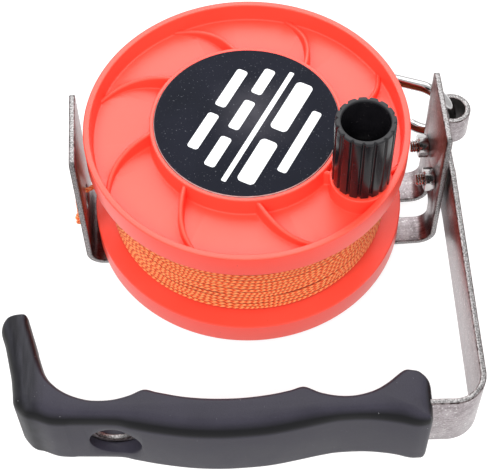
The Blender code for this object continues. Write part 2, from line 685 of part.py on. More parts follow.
def rib_bodies(floor_z, top_z, rim_height):
    """The curved ribs between hub and rim, as separate bodies."""
    bm = bmesh.new()
    inner = HUB_RADIUS - RIM_WALL / 2
    outer = FLANGE_RADIUS - RIM_WALL / 2
    sunk = floor_z - WEB_THICKNESS / 2
    for number in range(RIB_COUNT):
        start = RIB_FIRST_ANGLE + math.tau * number / RIB_COUNT
        path = []
        tops = []
        for i in range(RIB_STATIONS + 1):
            share = i / RIB_STATIONS
            radius = inner + (outer - inner) * share
            angle = start + RIB_SWEEP * (RIB_TURN_SHARE * share
                                         + (1 - RIB_TURN_SHARE) * share ** 4)
            path.append((radius * math.cos(angle), radius * math.sin(angle)))
            tops.append(top_z + (floor_z + rim_height - top_z) * share ** 1.5)
        left = offset_path(path, RIB_THICKNESS / 2)
        right = offset_path(path, -RIB_THICKNESS / 2)
        rings = []
        for (lx, ly), (rx, ry), top in zip(left, right, tops):
            rings.append([bm.verts.new(place) for place in
                          ((lx, ly, sunk), (rx, ry, sunk), (rx, ry, top), (lx, ly, top))])
        for ring, following in zip(rings, rings[1:]):
            for k in range(4):
                bm.faces.new((ring[k], ring[(k + 1) % 4],
                              following[(k + 1) % 4], following[k]))
        bm.faces.new(rings[0])
        bm.faces.new(rings[-1][::-1])
    return bm


def flange_screw_places():
    for number in range(FLANGE_SCREW_COUNT):
        angle = math.pi / 2 + math.tau * number / FLANGE_SCREW_COUNT
        yield (FLANGE_SCREW_CIRCLE * math.cos(angle), FLANGE_SCREW_CIRCLE * math.sin(angle))


def screw_holes(low, high):
    bm = bmesh.new()
    for place in flange_screw_places():
        join(bm, prism(circle(FLANGE_SCREW_RADIUS + GAP, SMALL_SIDES // 2, place), low, high))
    return bm


def make_upper_flange(spool):
    rim_inner = FLANGE_RADIUS - RIM_WALL
    seat = COVER_RADIUS + GAP
    ledge = seat - COVER_LEDGE
    ledge_z = COVER_Z - GAP
    profile = [
        (SLEEVE_BORE, UPPER_FLANGE_Z), (FLANGE_RADIUS - EDGE_ROUND, UPPER_FLANGE_Z),
        (FLANGE_RADIUS, UPPER_FLANGE_Z + EDGE_ROUND),
        (FLANGE_RADIUS, RIM_TOP_Z - EDGE_ROUND), (FLANGE_RADIUS - EDGE_ROUND, RIM_TOP_Z),
        (rim_inner + EDGE_ROUND, RIM_TOP_Z), (rim_inner, RIM_TOP_Z - EDGE_ROUND),
        (rim_inner - EDGE_ROUND, FLOOR_Z), (HUB_RADIUS, FLOOR_Z), (HUB_RADIUS, HUB_TOP_Z),
        (seat, HUB_TOP_Z), (seat, ledge_z), (ledge, ledge_z), (ledge, FLOOR_Z),
        (SLEEVE_BORE, FLOOR_Z)]
    flange = object_from("upper_flange", turned(profile), orange_plastic(), spool)
    ribs = rib_bodies(FLOOR_Z, RIM_TOP_Z - RIB_HUB_DROP, RIB_RIM_HEIGHT)
    boolean(flange, cutter_from("upper_ribs", ribs), 'UNION')
    boss = turned_solid(disc_profile(KNOB_BOSS_RADIUS, FLOOR_Z - WEB_THICKNESS / 2, RIM_TOP_Z),
                        2 * SMALL_SIDES, (KNOB_X, KNOB_Y))
    boolean(flange, cutter_from("knob_boss", boss), 'UNION')
    bore = prism(circle(KNOB_SCREW_RADIUS + GAP, SMALL_SIDES, (KNOB_X, KNOB_Y)),
                 RIM_TOP_Z - KNOB_SCREW_REACH - GAP, RIM_TOP_Z + OVERRUN)
    boolean(flange, cutter_from("knob_screw_hole", bore))
    boolean(flange, cutter_from("upper_screw_holes", screw_holes(
        UPPER_FLANGE_Z - OVERRUN, FLOOR_Z + OVERRUN)))


def make_lower_flange(spool):
    rim_inner = FLANGE_RADIUS - RIM_WALL
    web_z = LOWER_FLANGE_TOP_Z - WEB_THICKNESS
    drum_top = UPPER_FLANGE_Z - GAP
    drum_inner = DRUM_RADIUS - DRUM_WALL
    ratchet_z = SPOOL_BOTTOM_Z + RATCHET_LIFT
    ratchet_outer = TOOTH_ROOT_RADIUS + RATCHET_WALL
    profile = [
        (SLEEVE_BORE, SLEEVE_Z), (SLEEVE_RADIUS, SLEEVE_Z),
        (SLEEVE_RADIUS, drum_top - DRUM_TOP_THICKNESS),
        (drum_inner, drum_top - DRUM_TOP_THICKNESS), (drum_inner, web_z),
        (TOOTH_ROOT_RADIUS, web_z), (TOOTH_ROOT_RADIUS, ratchet_z),
        (ratchet_outer, ratchet_z), (ratchet_outer, web_z),
        (rim_inner, web_z), (rim_inner, SPOOL_BOTTOM_Z + EDGE_ROUND),
        (rim_inner + EDGE_ROUND, SPOOL_BOTTOM_Z),
        (FLANGE_RADIUS - EDGE_ROUND, SPOOL_BOTTOM_Z),
        (FLANGE_RADIUS, SPOOL_BOTTOM_Z + EDGE_ROUND),
        (FLANGE_RADIUS, LOWER_FLANGE_TOP_Z - EDGE_ROUND),
        (FLANGE_RADIUS - EDGE_ROUND, LOWER_FLANGE_TOP_Z),
        (DRUM_RADIUS, LOWER_FLANGE_TOP_Z), (DRUM_RADIUS, drum_top), (SLEEVE_BORE, drum_top)]
    flange = object_from("lower_flange", turned(profile), orange_plastic(), spool)
    teeth = bmesh.new()
    for number in range(TOOTH_COUNT):
        angle = math.tau * (number + 0.5) / TOOTH_COUNT
        tooth = rounded_box((TOOTH_TIP_RADIUS, -TOOTH_WIDTH / 2, ratchet_z),
                            (TOOTH_ROOT_RADIUS + RATCHET_WALL / 2, TOOTH_WIDTH / 2,
                             web_z + WEB_THICKNESS / 2), 0.0, 2)
        bmesh.ops.rotate(tooth, verts=tooth.verts, cent=(0, 0, 0),
                         matrix=Matrix.Rotation(angle, 3, 'Z'))
        join(teeth, tooth)
    boolean(flange, cutter_from("ratchet_teeth", teeth), 'UNION')
    boolean(flange, cutter_from("lower_screw_holes", screw_holes(
        drum_top - DRUM_TOP_THICKNESS - OVERRUN, drum_top + OVERRUN)))


def make_flange_screws(spool):
    low = FLOOR_Z + GAP - FLANGE_SCREW_LENGTH
    head = FLOOR_Z + GAP
    for number, place in enumerate(flange_screw_places(), 1):
        profile = [(0.0, low), (FLANGE_SCREW_RADIUS, low), (FLANGE_SCREW_RADIUS, head),
                   (FLANGE_SCREW_HEAD_RADIUS, head),
                   (FLANGE_SCREW_HEAD_RADIUS, head + FLANGE_SCREW_HEAD / 2),
                   (FLANGE_SCREW_HEAD_RADIUS / 2, head + FLANGE_SCREW_HEAD),
                   (0.0, head + FLANGE_SCREW_HEAD)]
        screw = turned_solid(profile, SMALL_SIDES // 2, place)
        object_from(f"flange_screw_{number}", screw, bright_steel(), spool)


def make_cover(spool):
    """The round black plate over the hub. Its face is plain."""
    profile = disc_profile(COVER_RADIUS, COVER_Z, COVER_TOP_Z, COVER_EDGE)
    object_from("hub_cover", turned_solid(profile), cover_plastic(), spool)


def make_bushes(spool):
    bore = AXLE_RADIUS + GAP
    lower = [(bore, LOWER_BUSH_Z), (BUSH_COLLAR_RADIUS, LOWER_BUSH_Z),
             (BUSH_COLLAR_RADIUS, LOWER_BUSH_Z + BUSH_COLLAR),
             (BUSH_RADIUS, LOWER_BUSH_Z + BUSH_COLLAR),
             (BUSH_RADIUS, LOWER_BUSH_Z + BUSH_LENGTH), (bore, LOWER_BUSH_Z + BUSH_LENGTH)]
    object_from("lower_bush", turned(lower, SMALL_SIDES), bearing_plastic(), spool)
    collar_top = UPPER_COLLAR_Z + BUSH_COLLAR
    upper = [(bore, collar_top - BUSH_LENGTH), (BUSH_RADIUS, collar_top - BUSH_LENGTH),
             (BUSH_RADIUS, UPPER_COLLAR_Z), (BUSH_COLLAR_RADIUS, UPPER_COLLAR_Z),
             (BUSH_COLLAR_RADIUS, collar_top), (bore, collar_top)]
    object_from("upper_bush", turned(upper, SMALL_SIDES), bearing_plastic(), spool)


def make_axle():
    stud = [(0.0, SHOULDER_Z), (AXLE_SHOULDER_RADIUS, SHOULDER_Z),
            (AXLE_SHOULDER_RADIUS, SHOULDER_Z + AXLE_SHOULDER),
            (AXLE_RADIUS, SHOULDER_Z + AXLE_SHOULDER), (AXLE_RADIUS, AXLE_TOP_Z),
            (0.0, AXLE_TOP_Z)]
    object_from("axle_stud", turned_solid(stud, SMALL_SIDES), bright_steel())
    bore = AXLE_RADIUS + GAP
    object_from("thrust_washer", turned(tube_profile(
        bore, THRUST_WASHER_RADIUS, THRUST_Z, THRUST_Z + THRUST_WASHER_THICKNESS),
        SMALL_SIDES), bearing_plastic())
    object_from("axle_washer", turned(tube_profile(
        bore, AXLE_WASHER_RADIUS, AXLE_WASHER_Z, AXLE_WASHER_Z + AXLE_WASHER_THICKNESS),
        SMALL_SIDES), bright_steel())
    nut = object_from("axle_nut", prism(circle(AXLE_NUT_RADIUS, 6), AXLE_NUT_Z,
                                        AXLE_NUT_Z + AXLE_NUT_HEIGHT), bright_steel())
    boolean(nut, cutter_from("axle_nut_bore", prism(
        circle(bore), AXLE_NUT_Z - OVERRUN, AXLE_TOP_Z + OVERRUN)))


def make_knob(spool):
    """The hollow fluted knob, free to turn on a shoulder screw in the boss."""
    axis = pivot("knob_axis", (KNOB_X, KNOB_Y, KNOB_Z))
    top = KNOB_Z + KNOB_HEIGHT
    points = []
    for number in range(KNOB_FLUTES):
        pitch = math.tau / KNOB_FLUTES
        for share, depth in ((0.0, KNOB_FLUTE_DEPTH), (KNOB_FLUTE_SHARE, 0.0),
                             (0.5, 0.0), (1 - KNOB_FLUTE_SHARE / 2, 0.0)):
            angle = pitch * (number + share)
            points.append(((KNOB_RADIUS - depth) * math.cos(angle),
                           (KNOB_RADIUS - depth) * math.sin(angle)))
    bm = prism(points, KNOB_Z, top)
    rims = [edge for edge in bm.edges if all(vert.co.z > top - GAP for vert in edge.verts)]
    bmesh.ops.bevel(bm, geom=rims, offset=KNOB_RIM_ROUND, segments=1, profile=0.5,
                    affect='EDGES', material=-1)
    bmesh.ops.translate(bm, verts=bm.verts, vec=(KNOB_X, KNOB_Y, 0.0))
    knob = object_from("winding_knob", bm, knob_plastic(), axis)
    cup = turned_solid([(0.0, KNOB_Z + KNOB_FLOOR), (KNOB_CUP_FLOOR_RADIUS, KNOB_Z + KNOB_FLOOR),
                        (KNOB_CUP_RADIUS, top - KNOB_RIM_ROUND),
                        (KNOB_CUP_RADIUS, top + OVERRUN), (0.0, top + OVERRUN)],
                       2 * SMALL_SIDES, (KNOB_X, KNOB_Y))
    boolean(knob, cutter_from("knob_cup", cup))
    bore = prism(circle(KNOB_SCREW_RADIUS + GAP, SMALL_SIDES, (KNOB_X, KNOB_Y)),
                 KNOB_Z - OVERRUN, KNOB_Z + KNOB_FLOOR + OVERRUN)
    boolean(knob, cutter_from("knob_bore", bore))
    washer = tube_profile(KNOB_SCREW_RADIUS + GAP, KNOB_WASHER_RADIUS, KNOB_WASHER_Z,
                          KNOB_WASHER_Z + KNOB_WASHER_THICKNESS)
    object_from("knob_washer", turned(washer, SMALL_SIDES, (KNOB_X, KNOB_Y)),
                bearing_plastic(), spool)
    head = KNOB_Z + KNOB_FLOOR + GAP
    screw = [(0.0, RIM_TOP_Z - KNOB_SCREW_REACH), (KNOB_SCREW_RADIUS,
                                                   RIM_TOP_Z - KNOB_SCREW_REACH),
             (KNOB_SCREW_RADIUS, head), (KNOB_SCREW_HEAD_RADIUS, head),
             (KNOB_SCREW_HEAD_RADIUS, head + KNOB_SCREW_HEAD / 2),
             (KNOB_SCREW_HEAD_RADIUS - KNOB_RIM_ROUND, head + KNOB_SCREW_HEAD),
             (0.0, head + KNOB_SCREW_HEAD)]
    object_from("knob_screw", turned_solid(screw, SMALL_SIDES, (KNOB_X, KNOB_Y)),
                bright_steel(), spool)


def winding_points():
    """One outer layer of turns, climbing from the lower to the upper flange."""
    radius = WINDING_RADIUS - LINE_DIAMETER / 2
    low = LOWER_FLANGE_TOP_Z + GAP + LINE_DIAMETER / 2
    high = UPPER_FLANGE_Z - GAP - LINE_DIAMETER / 2
    count = round(WINDING_TURNS * WINDING_STEPS)
    points = []
    for i in range(count + 1):
        angle = math.tau * i / WINDING_STEPS
        height = low + (high - low) * i / count
        points.append(Vector((radius * math.cos(angle), radius * math.sin(angle), height)))
    first = (points[0] - points[1]).normalized()
    last = (points[-1] - points[-2]).normalized()
    first.z = 0.0
    last.z = 0.0
    points.insert(0, points[0] + first * LINE_DIAMETER)
    points.append(points[-1] + last * LINE_DIAMETER)
    return points


def least_winding_gap(points):
    """The smallest clear distance between neighbouring turns, measured on the points."""
    least = None
    for i in range(len(points) - WINDING_STEPS - 2):
        for k in (WINDING_STEPS - 1, WINDING_STEPS, WINDING_STEPS + 1):
            distance = (points[i] - points[i + k]).length - LINE_DIAMETER
            if least is None or distance < least:
                least = distance
    return least


def tube_object(name, points, diameter, resolution, finish, parent=None):
    curve = bpy.data.curves.new(name, 'CURVE')
    curve.dimensions = '3D'
    curve.bevel_depth = diameter / 2
    curve.bevel_resolution = resolution
    curve.use_fill_caps = True
    spline = curve.splines.new('POLY')
    spline.points.add(len(points) - 1)
    for target, point in zip(spline.points, points):
        target.co = (*point, 1.0)
    if finish is not None:
        curve.materials.append(finish)
    made = bpy.data.objects.new(name, curve)
    bpy.context.scene.collection.objects.link(made)
    if parent is not None:
        made.parent = parent
        made.matrix_parent_inverse = parent.matrix_world.inverted()
    return made


def make_line(spool):
    points = winding_points()
    gap = least_winding_gap(points)
    print(f"least gap of the winding to itself: {gap * 1000:.3f} mm")
    tube_object("line_winding", points, LINE_DIAMETER, 1, line_fibre(), spool)
    sagitta = WINDING_RADIUS * (1 - math.cos(math.pi / WINDING_STEPS))
    core_radius = WINDING_RADIUS - LINE_DIAMETER - sagitta - GAP
    core = tube_profile(DRUM_RADIUS + GAP, core_radius, LOWER_FLANGE_TOP_Z + GAP,
                        UPPER_FLANGE_Z - GAP)
    object_from("line_core", turned(core), line_fibre(), spool)


def make_tail():
    """The free end of the line: off the winding, out through the guide hole, to its knot."""
    dense = catmull_rom(TAIL_ROUTE, 12)
    points = [dense[0]]
    walked = 0.0
    for before, here in zip(dense, dense[1:]):
        walked += (here - before).length
        if walked >= TAIL_STEP:
            points.append(here)
            walked = 0.0
    if (points[-1] - dense[-1]).length < TAIL_STEP / 2:
        points.pop()
    points.append(dense[-1])
    tube_object("line_tail", points, TAIL_DIAMETER, 2, line_fibre())
    end = Vector(TAIL_ROUTE[-1])
    bm = bmesh.new()
    bmesh.ops.create_uvsphere(bm, u_segments=SMALL_SIDES // 2, v_segments=SMALL_SIDES // 3,
                              radius=0.5)
    bmesh.ops.scale(bm, verts=bm.verts, vec=KNOT_SIZE)
    bmesh.ops.translate(bm, verts=bm.verts,
                        vec=end + Vector((0.0, GAP, -KNOT_SIZE[2] / 2 - GAP)))
    object_from("stopper_knot", bm, line_fibre())


def snap_place(along, height):
    """A point of the snap hook's own upright plane, in the reel's frame."""
    return Vector((CURL_CENTRE_X + along * math.cos(SNAP_ANGLE),
                   CURL_CENTRE_Y + along * math.sin(SNAP_ANGLE), STRAP_MID_Z + height))


def snap_side(along):
    """Half the hook's height at a place along it, on its straight sides."""
    near = SNAP_HALF_HEIGHT
    far = SNAP_FAR_RADIUS
    share = (along - near) / (SNAP_LENGTH - far - near)
    return near + (far - near) * share


def snap_wire():
    """The bent wire, from the nose round the curl's end, along the top, to the hinge end."""
    near = SNAP_HALF_HEIGHT
    far = SNAP_FAR_RADIUS
    nose_s = GATE_FREE_S - GATE_END_GAP
    places = [(nose_s, -snap_side(nose_s)), (near, -near)]
    places += [(near + a, b) for a, b in arc((0.0, 0.0), near, 1.5 * math.pi, 0.5 * math.pi,
                                             SNAP_ARC_STEPS)][1:]
    centre_s = SNAP_LENGTH - far
    places += [(centre_s + a, b) for a, b in arc((0.0, 0.0), far, 0.5 * math.pi,
                                                 -0.5 * math.pi, SNAP_ARC_STEPS)]
    root_s = GATE_PIN_S + HINGE_ROOT
    places.append((root_s, -snap_side(root_s)))
    return [snap_place(along, height) for along, height in places]


def snap_normal():
    return Vector((math.sin(SNAP_ANGLE), -math.cos(SNAP_ANGLE), 0.0))


def local_prism(outline, half_width):
    """An outline in the hook's plane, extruded to both sides of it."""
    bm = bmesh.new()
    offset = snap_normal() * half_width
    near = [bm.verts.new(snap_place(a, b) - offset) for a, b in outline]
    face = bm.faces.new(near)
    grown = bmesh.ops.extrude_face_region(bm, geom=[face])
    moved = [item for item in grown["geom"] if isinstance(item, bmesh.types.BMVert)]
    bmesh.ops.translate(bm, verts=moved, vec=2 * offset)
    return bm


def rod_between(start, end, radius, sides=SNAP_SIDES):
    """A round rod from start to end."""
    span = end - start
    bm = bmesh.new()
    bmesh.ops.create_cone(bm, cap_ends=True, segments=sides, radius1=radius, radius2=radius,
                          depth=span.length)
    turn = span.to_track_quat('Z', 'Y').to_matrix().to_4x4()
    bmesh.ops.transform(bm, verts=bm.verts,
                        matrix=Matrix.Translation((start + end) / 2) @ turn)
    return bm


def wire_body(points, radius):
    """A bent round wire, closed at both ends."""
    guide = tube_object("wire_guide", points, 2 * radius, SNAP_RESOLUTION, None)
    bpy.context.view_layer.update()
    mesh = bpy.data.meshes.new_from_object(guide)
    bpy.data.objects.remove(guide, do_unlink=True)
    bm = bmesh.new()
    bm.from_mesh(mesh)
    bpy.data.meshes.remove(mesh)
    bmesh.ops.remove_doubles(bm, verts=bm.verts, dist=GAP / 100)
    return bm


def make_snap():
    swing = pivot("snap_axis", (CURL_CENTRE_X, CURL_CENTRE_Y, STRAP_MID_Z))
    body = object_from("snap_body", wire_body(snap_wire(), SNAP_WIRE_RADIUS), bright_steel(),
                       swing)
    pin_height = -snap_side(GATE_PIN_S)
    pin_place = snap_place(GATE_PIN_S, pin_height)
    root_s = GATE_PIN_S + HINGE_ROOT
    eye = [(GATE_PIN_S + a, pin_height + b) for a, b in
           arc((0.0, 0.0), HINGE_EYE_RADIUS, math.pi / 2, 1.5 * math.pi, BEND_STEPS)]
    eye += [(root_s + OVERRUN, -snap_side(root_s) - HINGE_EYE_RADIUS),
            (root_s + OVERRUN, -snap_side(root_s) + HINGE_EYE_RADIUS)]
    tongue = local_prism(eye, HINGE_EYE_THICKNESS / 2)
    boolean(body, cutter_from("hinge_tongue", tongue), 'UNION')
    across = snap_normal() * (SNAP_WIRE_RADIUS + OVERRUN)
    hole = rod_between(pin_place - across, pin_place + across, GATE_PIN_RADIUS + GAP)
    boolean(body, cutter_from("tongue_hole", hole))

    hinge = pivot("gate_axis", pin_place)
    hinge.parent = swing
    hinge.matrix_parent_inverse = swing.matrix_world.inverted()
    bpy.context.view_layer.update()
    end_s = root_s - GATE_END_GAP
    start = snap_place(GATE_FREE_S, -snap_side(GATE_FREE_S))
    end = snap_place(end_s, -snap_side(end_s))
    gate = object_from("snap_gate", rod_between(start, end, GATE_RADIUS), bright_steel(), hinge)
    fork = HINGE_EYE_RADIUS + GAP
    slot_outline = [(GATE_PIN_S - fork - GAP, pin_height - 2 * fork),
                    (root_s + OVERRUN, pin_height - 2 * fork),
                    (root_s + OVERRUN, pin_height + 2 * fork),
                    (GATE_PIN_S - fork - GAP, pin_height + 2 * fork)]
    slot = local_prism(slot_outline, HINGE_EYE_THICKNESS / 2 + GAP)
    boolean(gate, cutter_from("gate_fork", slot))
    boolean(gate, cutter_from("gate_hole", rod_between(
        pin_place - across, pin_place + across, GATE_PIN_RADIUS + GAP)))
    half = snap_normal() * GATE_RADIUS
    object_from("gate_pin", rod_between(pin_place - half, pin_place + half, GATE_PIN_RADIUS),
                bright_steel(), swing)


def make_selector():
    """Free, skip and stop: a lever riveted to the base, with a nose for the ratchet."""
    axis = pivot("selector_axis", (LEVER_PIVOT_X, LEVER_PIVOT_Y, LEVER_Z))
    half = LEVER_WIDTH / 2
    nose_low = NOSE_OUTER_RADIUS - NOSE_DEPTH
    outline = [(nose_low, -NOSE_WIDTH / 2), (NOSE_OUTER_RADIUS, -NOSE_WIDTH / 2),
               (NOSE_OUTER_RADIUS, NOSE_WIDTH / 2),
               (LEVER_PIVOT_X + half, LEVER_PIVOT_Y - half / 2),
               (LEVER_PIVOT_X + half, LEVER_REACH - half / 2),
               (LEVER_PIVOT_X + half / 2, LEVER_REACH), (LEVER_PIVOT_X - half / 2, LEVER_REACH),
               (LEVER_PIVOT_X - half, LEVER_REACH - half / 2),
               (LEVER_PIVOT_X - half, LEVER_PIVOT_Y - half / 2)]
    top = LEVER_Z + LEVER_THICKNESS
    lever = object_from("selector_lever", prism(outline, LEVER_Z, top), steel(), axis)
    nose = rounded_box((nose_low, -NOSE_WIDTH / 2, top - LEVER_THICKNESS / 2),
                       (NOSE_OUTER_RADIUS, NOSE_WIDTH / 2, top + NOSE_HEIGHT), 0.0, 2)
    boolean(lever, cutter_from("lever_nose", nose), 'UNION')
    place = (LEVER_PIVOT_X, LEVER_PIVOT_Y)
    boolean(lever, cutter_from("lever_hole", prism(
        circle(LEVER_RIVET_RADIUS + GAP, SMALL_SIDES, place), LEVER_Z - OVERRUN,
        top + OVERRUN)))
    head = top + GAP
    rivet = [(0.0, LEVER_Z), (LEVER_RIVET_RADIUS, LEVER_Z), (LEVER_RIVET_RADIUS, head),
             (LEVER_RIVET_HEAD_RADIUS, head),
             (LEVER_RIVET_HEAD_RADIUS, head + LEVER_RIVET_HEAD / 2),
             (LEVER_RIVET_RADIUS, head + LEVER_RIVET_HEAD), (0.0, head + LEVER_RIVET_HEAD)]
    object_from("selector_pin", turned_solid(rivet, SMALL_SIDES, place), bright_steel())
    tab_y = LEVER_REACH + TAB_END_WALL - TAB_LENGTH
    tab = rounded_box((LEVER_PIVOT_X - TAB_WIDTH / 2, tab_y, LEVER_Z),
                      (LEVER_PIVOT_X + TAB_WIDTH / 2, tab_y + TAB_LENGTH, LEVER_Z + TAB_HEIGHT),
                      TAB_CORNER_RADIUS, 2)
    thumb = object_from("selector_tab", tab, knob_plastic(), axis)
    socket = rounded_box((LEVER_PIVOT_X - half - GAP, tab_y - OVERRUN, LEVER_Z - OVERRUN),
                         (LEVER_PIVOT_X + half + GAP, LEVER_REACH + GAP, top + GAP), 0.0, 2)
    boolean(thumb, cutter_from("tab_socket", socket))


def main():
    for old in list(bpy.data.objects):
        bpy.data.objects.remove(old, do_unlink=True)
    make_bracket()
    make_strap()
    make_bolt(1, -1)
    make_bolt(2, 1)
    make_grip()
    make_axle()
    spool = pivot("spool_axis", (0.0, 0.0, 0.0))
    make_lower_flange(spool)
    make_upper_flange(spool)
    make_flange_screws(spool)
    make_cover(spool)
    make_bushes(spool)
    make_knob(spool)
    make_line(spool)
    make_tail()
    make_snap()
    make_selector()


main()
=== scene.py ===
"""The looks of a dive reel: fine shapes, finishes, floor, light and camera.

Metres, in the reel's own frame: +Z up along the spool's axle, minus Y towards the handle.
"""

import bpy
import bmesh
import math
from mathutils import Matrix, Vector


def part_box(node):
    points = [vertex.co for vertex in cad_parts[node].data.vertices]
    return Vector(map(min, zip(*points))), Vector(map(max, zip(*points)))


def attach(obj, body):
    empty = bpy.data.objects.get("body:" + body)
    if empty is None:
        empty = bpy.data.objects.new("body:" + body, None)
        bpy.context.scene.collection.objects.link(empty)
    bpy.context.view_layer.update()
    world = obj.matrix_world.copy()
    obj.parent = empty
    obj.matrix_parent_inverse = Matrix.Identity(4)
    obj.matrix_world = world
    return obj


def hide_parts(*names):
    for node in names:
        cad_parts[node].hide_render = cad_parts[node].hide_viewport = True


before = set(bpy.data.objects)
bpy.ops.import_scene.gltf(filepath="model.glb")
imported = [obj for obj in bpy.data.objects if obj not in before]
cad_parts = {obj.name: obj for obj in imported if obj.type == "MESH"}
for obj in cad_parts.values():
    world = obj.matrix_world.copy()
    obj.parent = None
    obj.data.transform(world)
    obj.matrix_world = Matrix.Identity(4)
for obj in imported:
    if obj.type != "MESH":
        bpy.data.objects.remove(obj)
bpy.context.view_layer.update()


def lowest(node):
    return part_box(node)[0]


def highest(node):
    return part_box(node)[1]


# Clearance between pieces, how far a cutter overruns, how near two corners are one, and the
# angle past which an edge is sharp
GAP = 0.0003
OVERRUN = 0.002
MERGE = GAP / 100
SHARP_ANGLE = math.radians(38.0)
# How much of a direction a face has to show along an axis to face that way
FACING = 0.9

# How many sides stand for a full round
HEX_SIDES = 6
SCREW_HOLE_SIDES = 24
KNOB_BORE_SIDES = 32
HOLE_SIDES = 40
SHANK_SIDES = 48
GUIDE_HOLE_SIDES = 56
RING_SIDES = 64
WIDE_SIDES = 72
BOSS_SIDES = 96
BED_SIDES = 144
# Into how many steps a sheet's corner and a corner of an ear are rounded
CORNER_STEPS = 8
EAR_CORNER_STEPS = 6

# Camera, as the photograph was taken: angles from +Y towards +X, below the level, and of roll
CAMERA_PLACE = (-0.01977, -0.37980, 0.5606)
CAMERA_HEADING = math.radians(2.603)
CAMERA_PITCH = math.radians(56.542)
CAMERA_ROLL = math.radians(-1.478)
CAMERA_LENS = 98.48

# Floor, world, and the dark card round the camera, which shows only in reflections
FLOOR_GREY = (0.40, 0.40, 0.40)
FLOOR_GLOW = 0.73
FLOOR_REACH = 3.0
WORLD_LIGHT = 0.62
STAGE_MIDDLE = (0.0, -0.03, 0.04)
CARD_PLACE = (-0.02, -0.52, 0.78)
CARD_REACH = 0.24
CARD_GREY = (0.02, 0.02, 0.02)
# Lamps: name, place, width and height, power, and whether it shows in reflections
LAMPS = (
    ("back_box", (0.04, 0.74, 0.98), (1.10, 1.00), 9.2, True),
    ("front_box", (-0.25, -0.78, 1.08), (1.00, 0.70), 17.0, False),
    ("right_box", (1.00, -0.10, 0.55), (0.60, 0.90), 3.0, False),
)

# Spool, from the frame
SPOOL_RADIUS = highest("upper_flange").x
HUB_TOP_Z = highest("upper_flange").z
UPPER_LOW_Z = lowest("upper_flange").z
RIM_TOP_Z = HUB_TOP_Z - 0.0004
FLOOR_Z = UPPER_LOW_Z + 0.0036
SLEEVE_LOW_Z = lowest("lower_flange").z
SPOOL_LOW_Z = SLEEVE_LOW_Z + 0.0009
LOWER_TOP_Z = lowest("line_core").z - GAP
DRUM_TOP_Z = highest("lower_flange").z
WEB_LOW_Z = LOWER_TOP_Z - 0.0036
RIM_WALL = 0.003
RIM_ROUND = 0.0006
WALL_DRAFT = 0.0007
FLOOR_FILLET = 0.0012
DISH_FILLET = 0.0009
SPOOL_SIDES = 256
SLEEVE_BORE = 0.0065
SLEEVE_RADIUS = 0.012
DRUM_RADIUS = 0.038
DRUM_WALL = 0.003
DRUM_LID = 0.004
SCREW_CIRCLE = 0.024
SCREW_HOLE = 0.0019

# Hub ring and the round plate in it
HUB_RADIUS = 0.0446
PLATE_RADIUS = highest("hub_cover").x
PLATE_LOW_Z = lowest("hub_cover").z
PLATE_TOP_Z = highest("hub_cover").z
PLATE_LEDGE = 0.0028
PLATE_EDGE = 0.0005

# Plain bars on the plate, before they are turned: place along and across, length, width
BARS_ANGLE = math.radians(-121.0)
INK_THICKNESS = 0.00003
PLATE_BARS = (
    (0.000, 0.0270, 0.038, 0.0046),
    (-0.0165, 0.0150, 0.030, 0.0084),
    (0.0185, 0.0150, 0.026, 0.0084),
    (0.000, 0.0062, 0.070, 0.0024),
    (-0.0240, -0.0035, 0.016, 0.0054),
    (-0.0020, -0.0035, 0.018, 0.0054),
    (0.0215, -0.0035, 0.018, 0.0054),
    (-0.0140, -0.0150, 0.024, 0.0054),
    (0.0140, -0.0150, 0.022, 0.0054),
)

# Ribs in the upper flange. Each turns evenly, then faster, and sinks towards the rim
RIB_COUNT = 8
RIB_THICKNESS = 0.0021
RIB_FIRST_ANGLE = math.radians(2.0)
RIB_SWEEP = math.radians(26.2)
RIB_TURN_SHARE = 0.67
RIB_TURN_POWER = 4
RIB_HUB_DROP = 0.0008
RIB_RIM_HEIGHT = 0.0002
RIB_FALL_POWER = 1.5
RIB_ROUND = 0.00095
RIB_FOOT = 0.0009
RIB_FOOT_REACH = 1.2 * RIB_FOOT
RIB_FOOT_FADE = 0.85
RIB_FOOT_SINK = 0.0001
RIB_ROOT = 0.0018
RIB_STEPS = 32
RIB_HEADING_STEP = 0.01

# Ratchet ring under the lower flange
TOOTH_COUNT = 24
TOOTH_TIP_RADIUS = 0.0494
TOOTH_ROOT_RADIUS = 0.0526
TOOTH_WIDTH = 0.0046
RATCHET_WALL = 0.0024
RATCHET_LIFT = 0.0008

# Winding knob and its boss
KNOB_LOW, KNOB_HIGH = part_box("winding_knob")
KNOB_X = (KNOB_LOW.x + KNOB_HIGH.x) / 2
KNOB_Y = (KNOB_LOW.y + KNOB_HIGH.y) / 2
KNOB_RADIUS = 0.01315
KNOB_FLUTES = 16
KNOB_FLUTE_DEPTH = 0.0010
KNOB_FLUTE_SHARE = 0.17
KNOB_FLUTE_POWER = 0.7
KNOB_SIDES = KNOB_FLUTES * 24
KNOB_CUP_RADIUS = 0.0106
KNOB_CUP_FLOOR_RADIUS = 0.0092
KNOB_FLOOR = 0.007
KNOB_RIM_ROUND = 0.0007
KNOB_BORE = 0.0028
KNOB_BORE_DEPTH = 0.0093
KNOB_BOSS_RADIUS = 0.0138
BOSS_FOOT = 0.0008
BOSS_FOOT_REACH = 1.1 * BOSS_FOOT
BOSS_FOOT_SINK = 0.0002
BOSS_ROOT = 0.0015
# Half section of the screw's head in the knob: radius, height over its seat and rounding
KNOB_SCREW_HEAD = (
    (0.0025, 0.0, 0.0),
    (0.0052, 0.0, 0.0003),
    (0.0052, 0.0020, 0.0009),
    (0.0046, 0.0030, 0.0012),
    (0.0, 0.0030, 0.0),
)
KNOB_SOCKET_RADIUS = 0.0024
KNOB_SOCKET_FLOOR = 0.0012

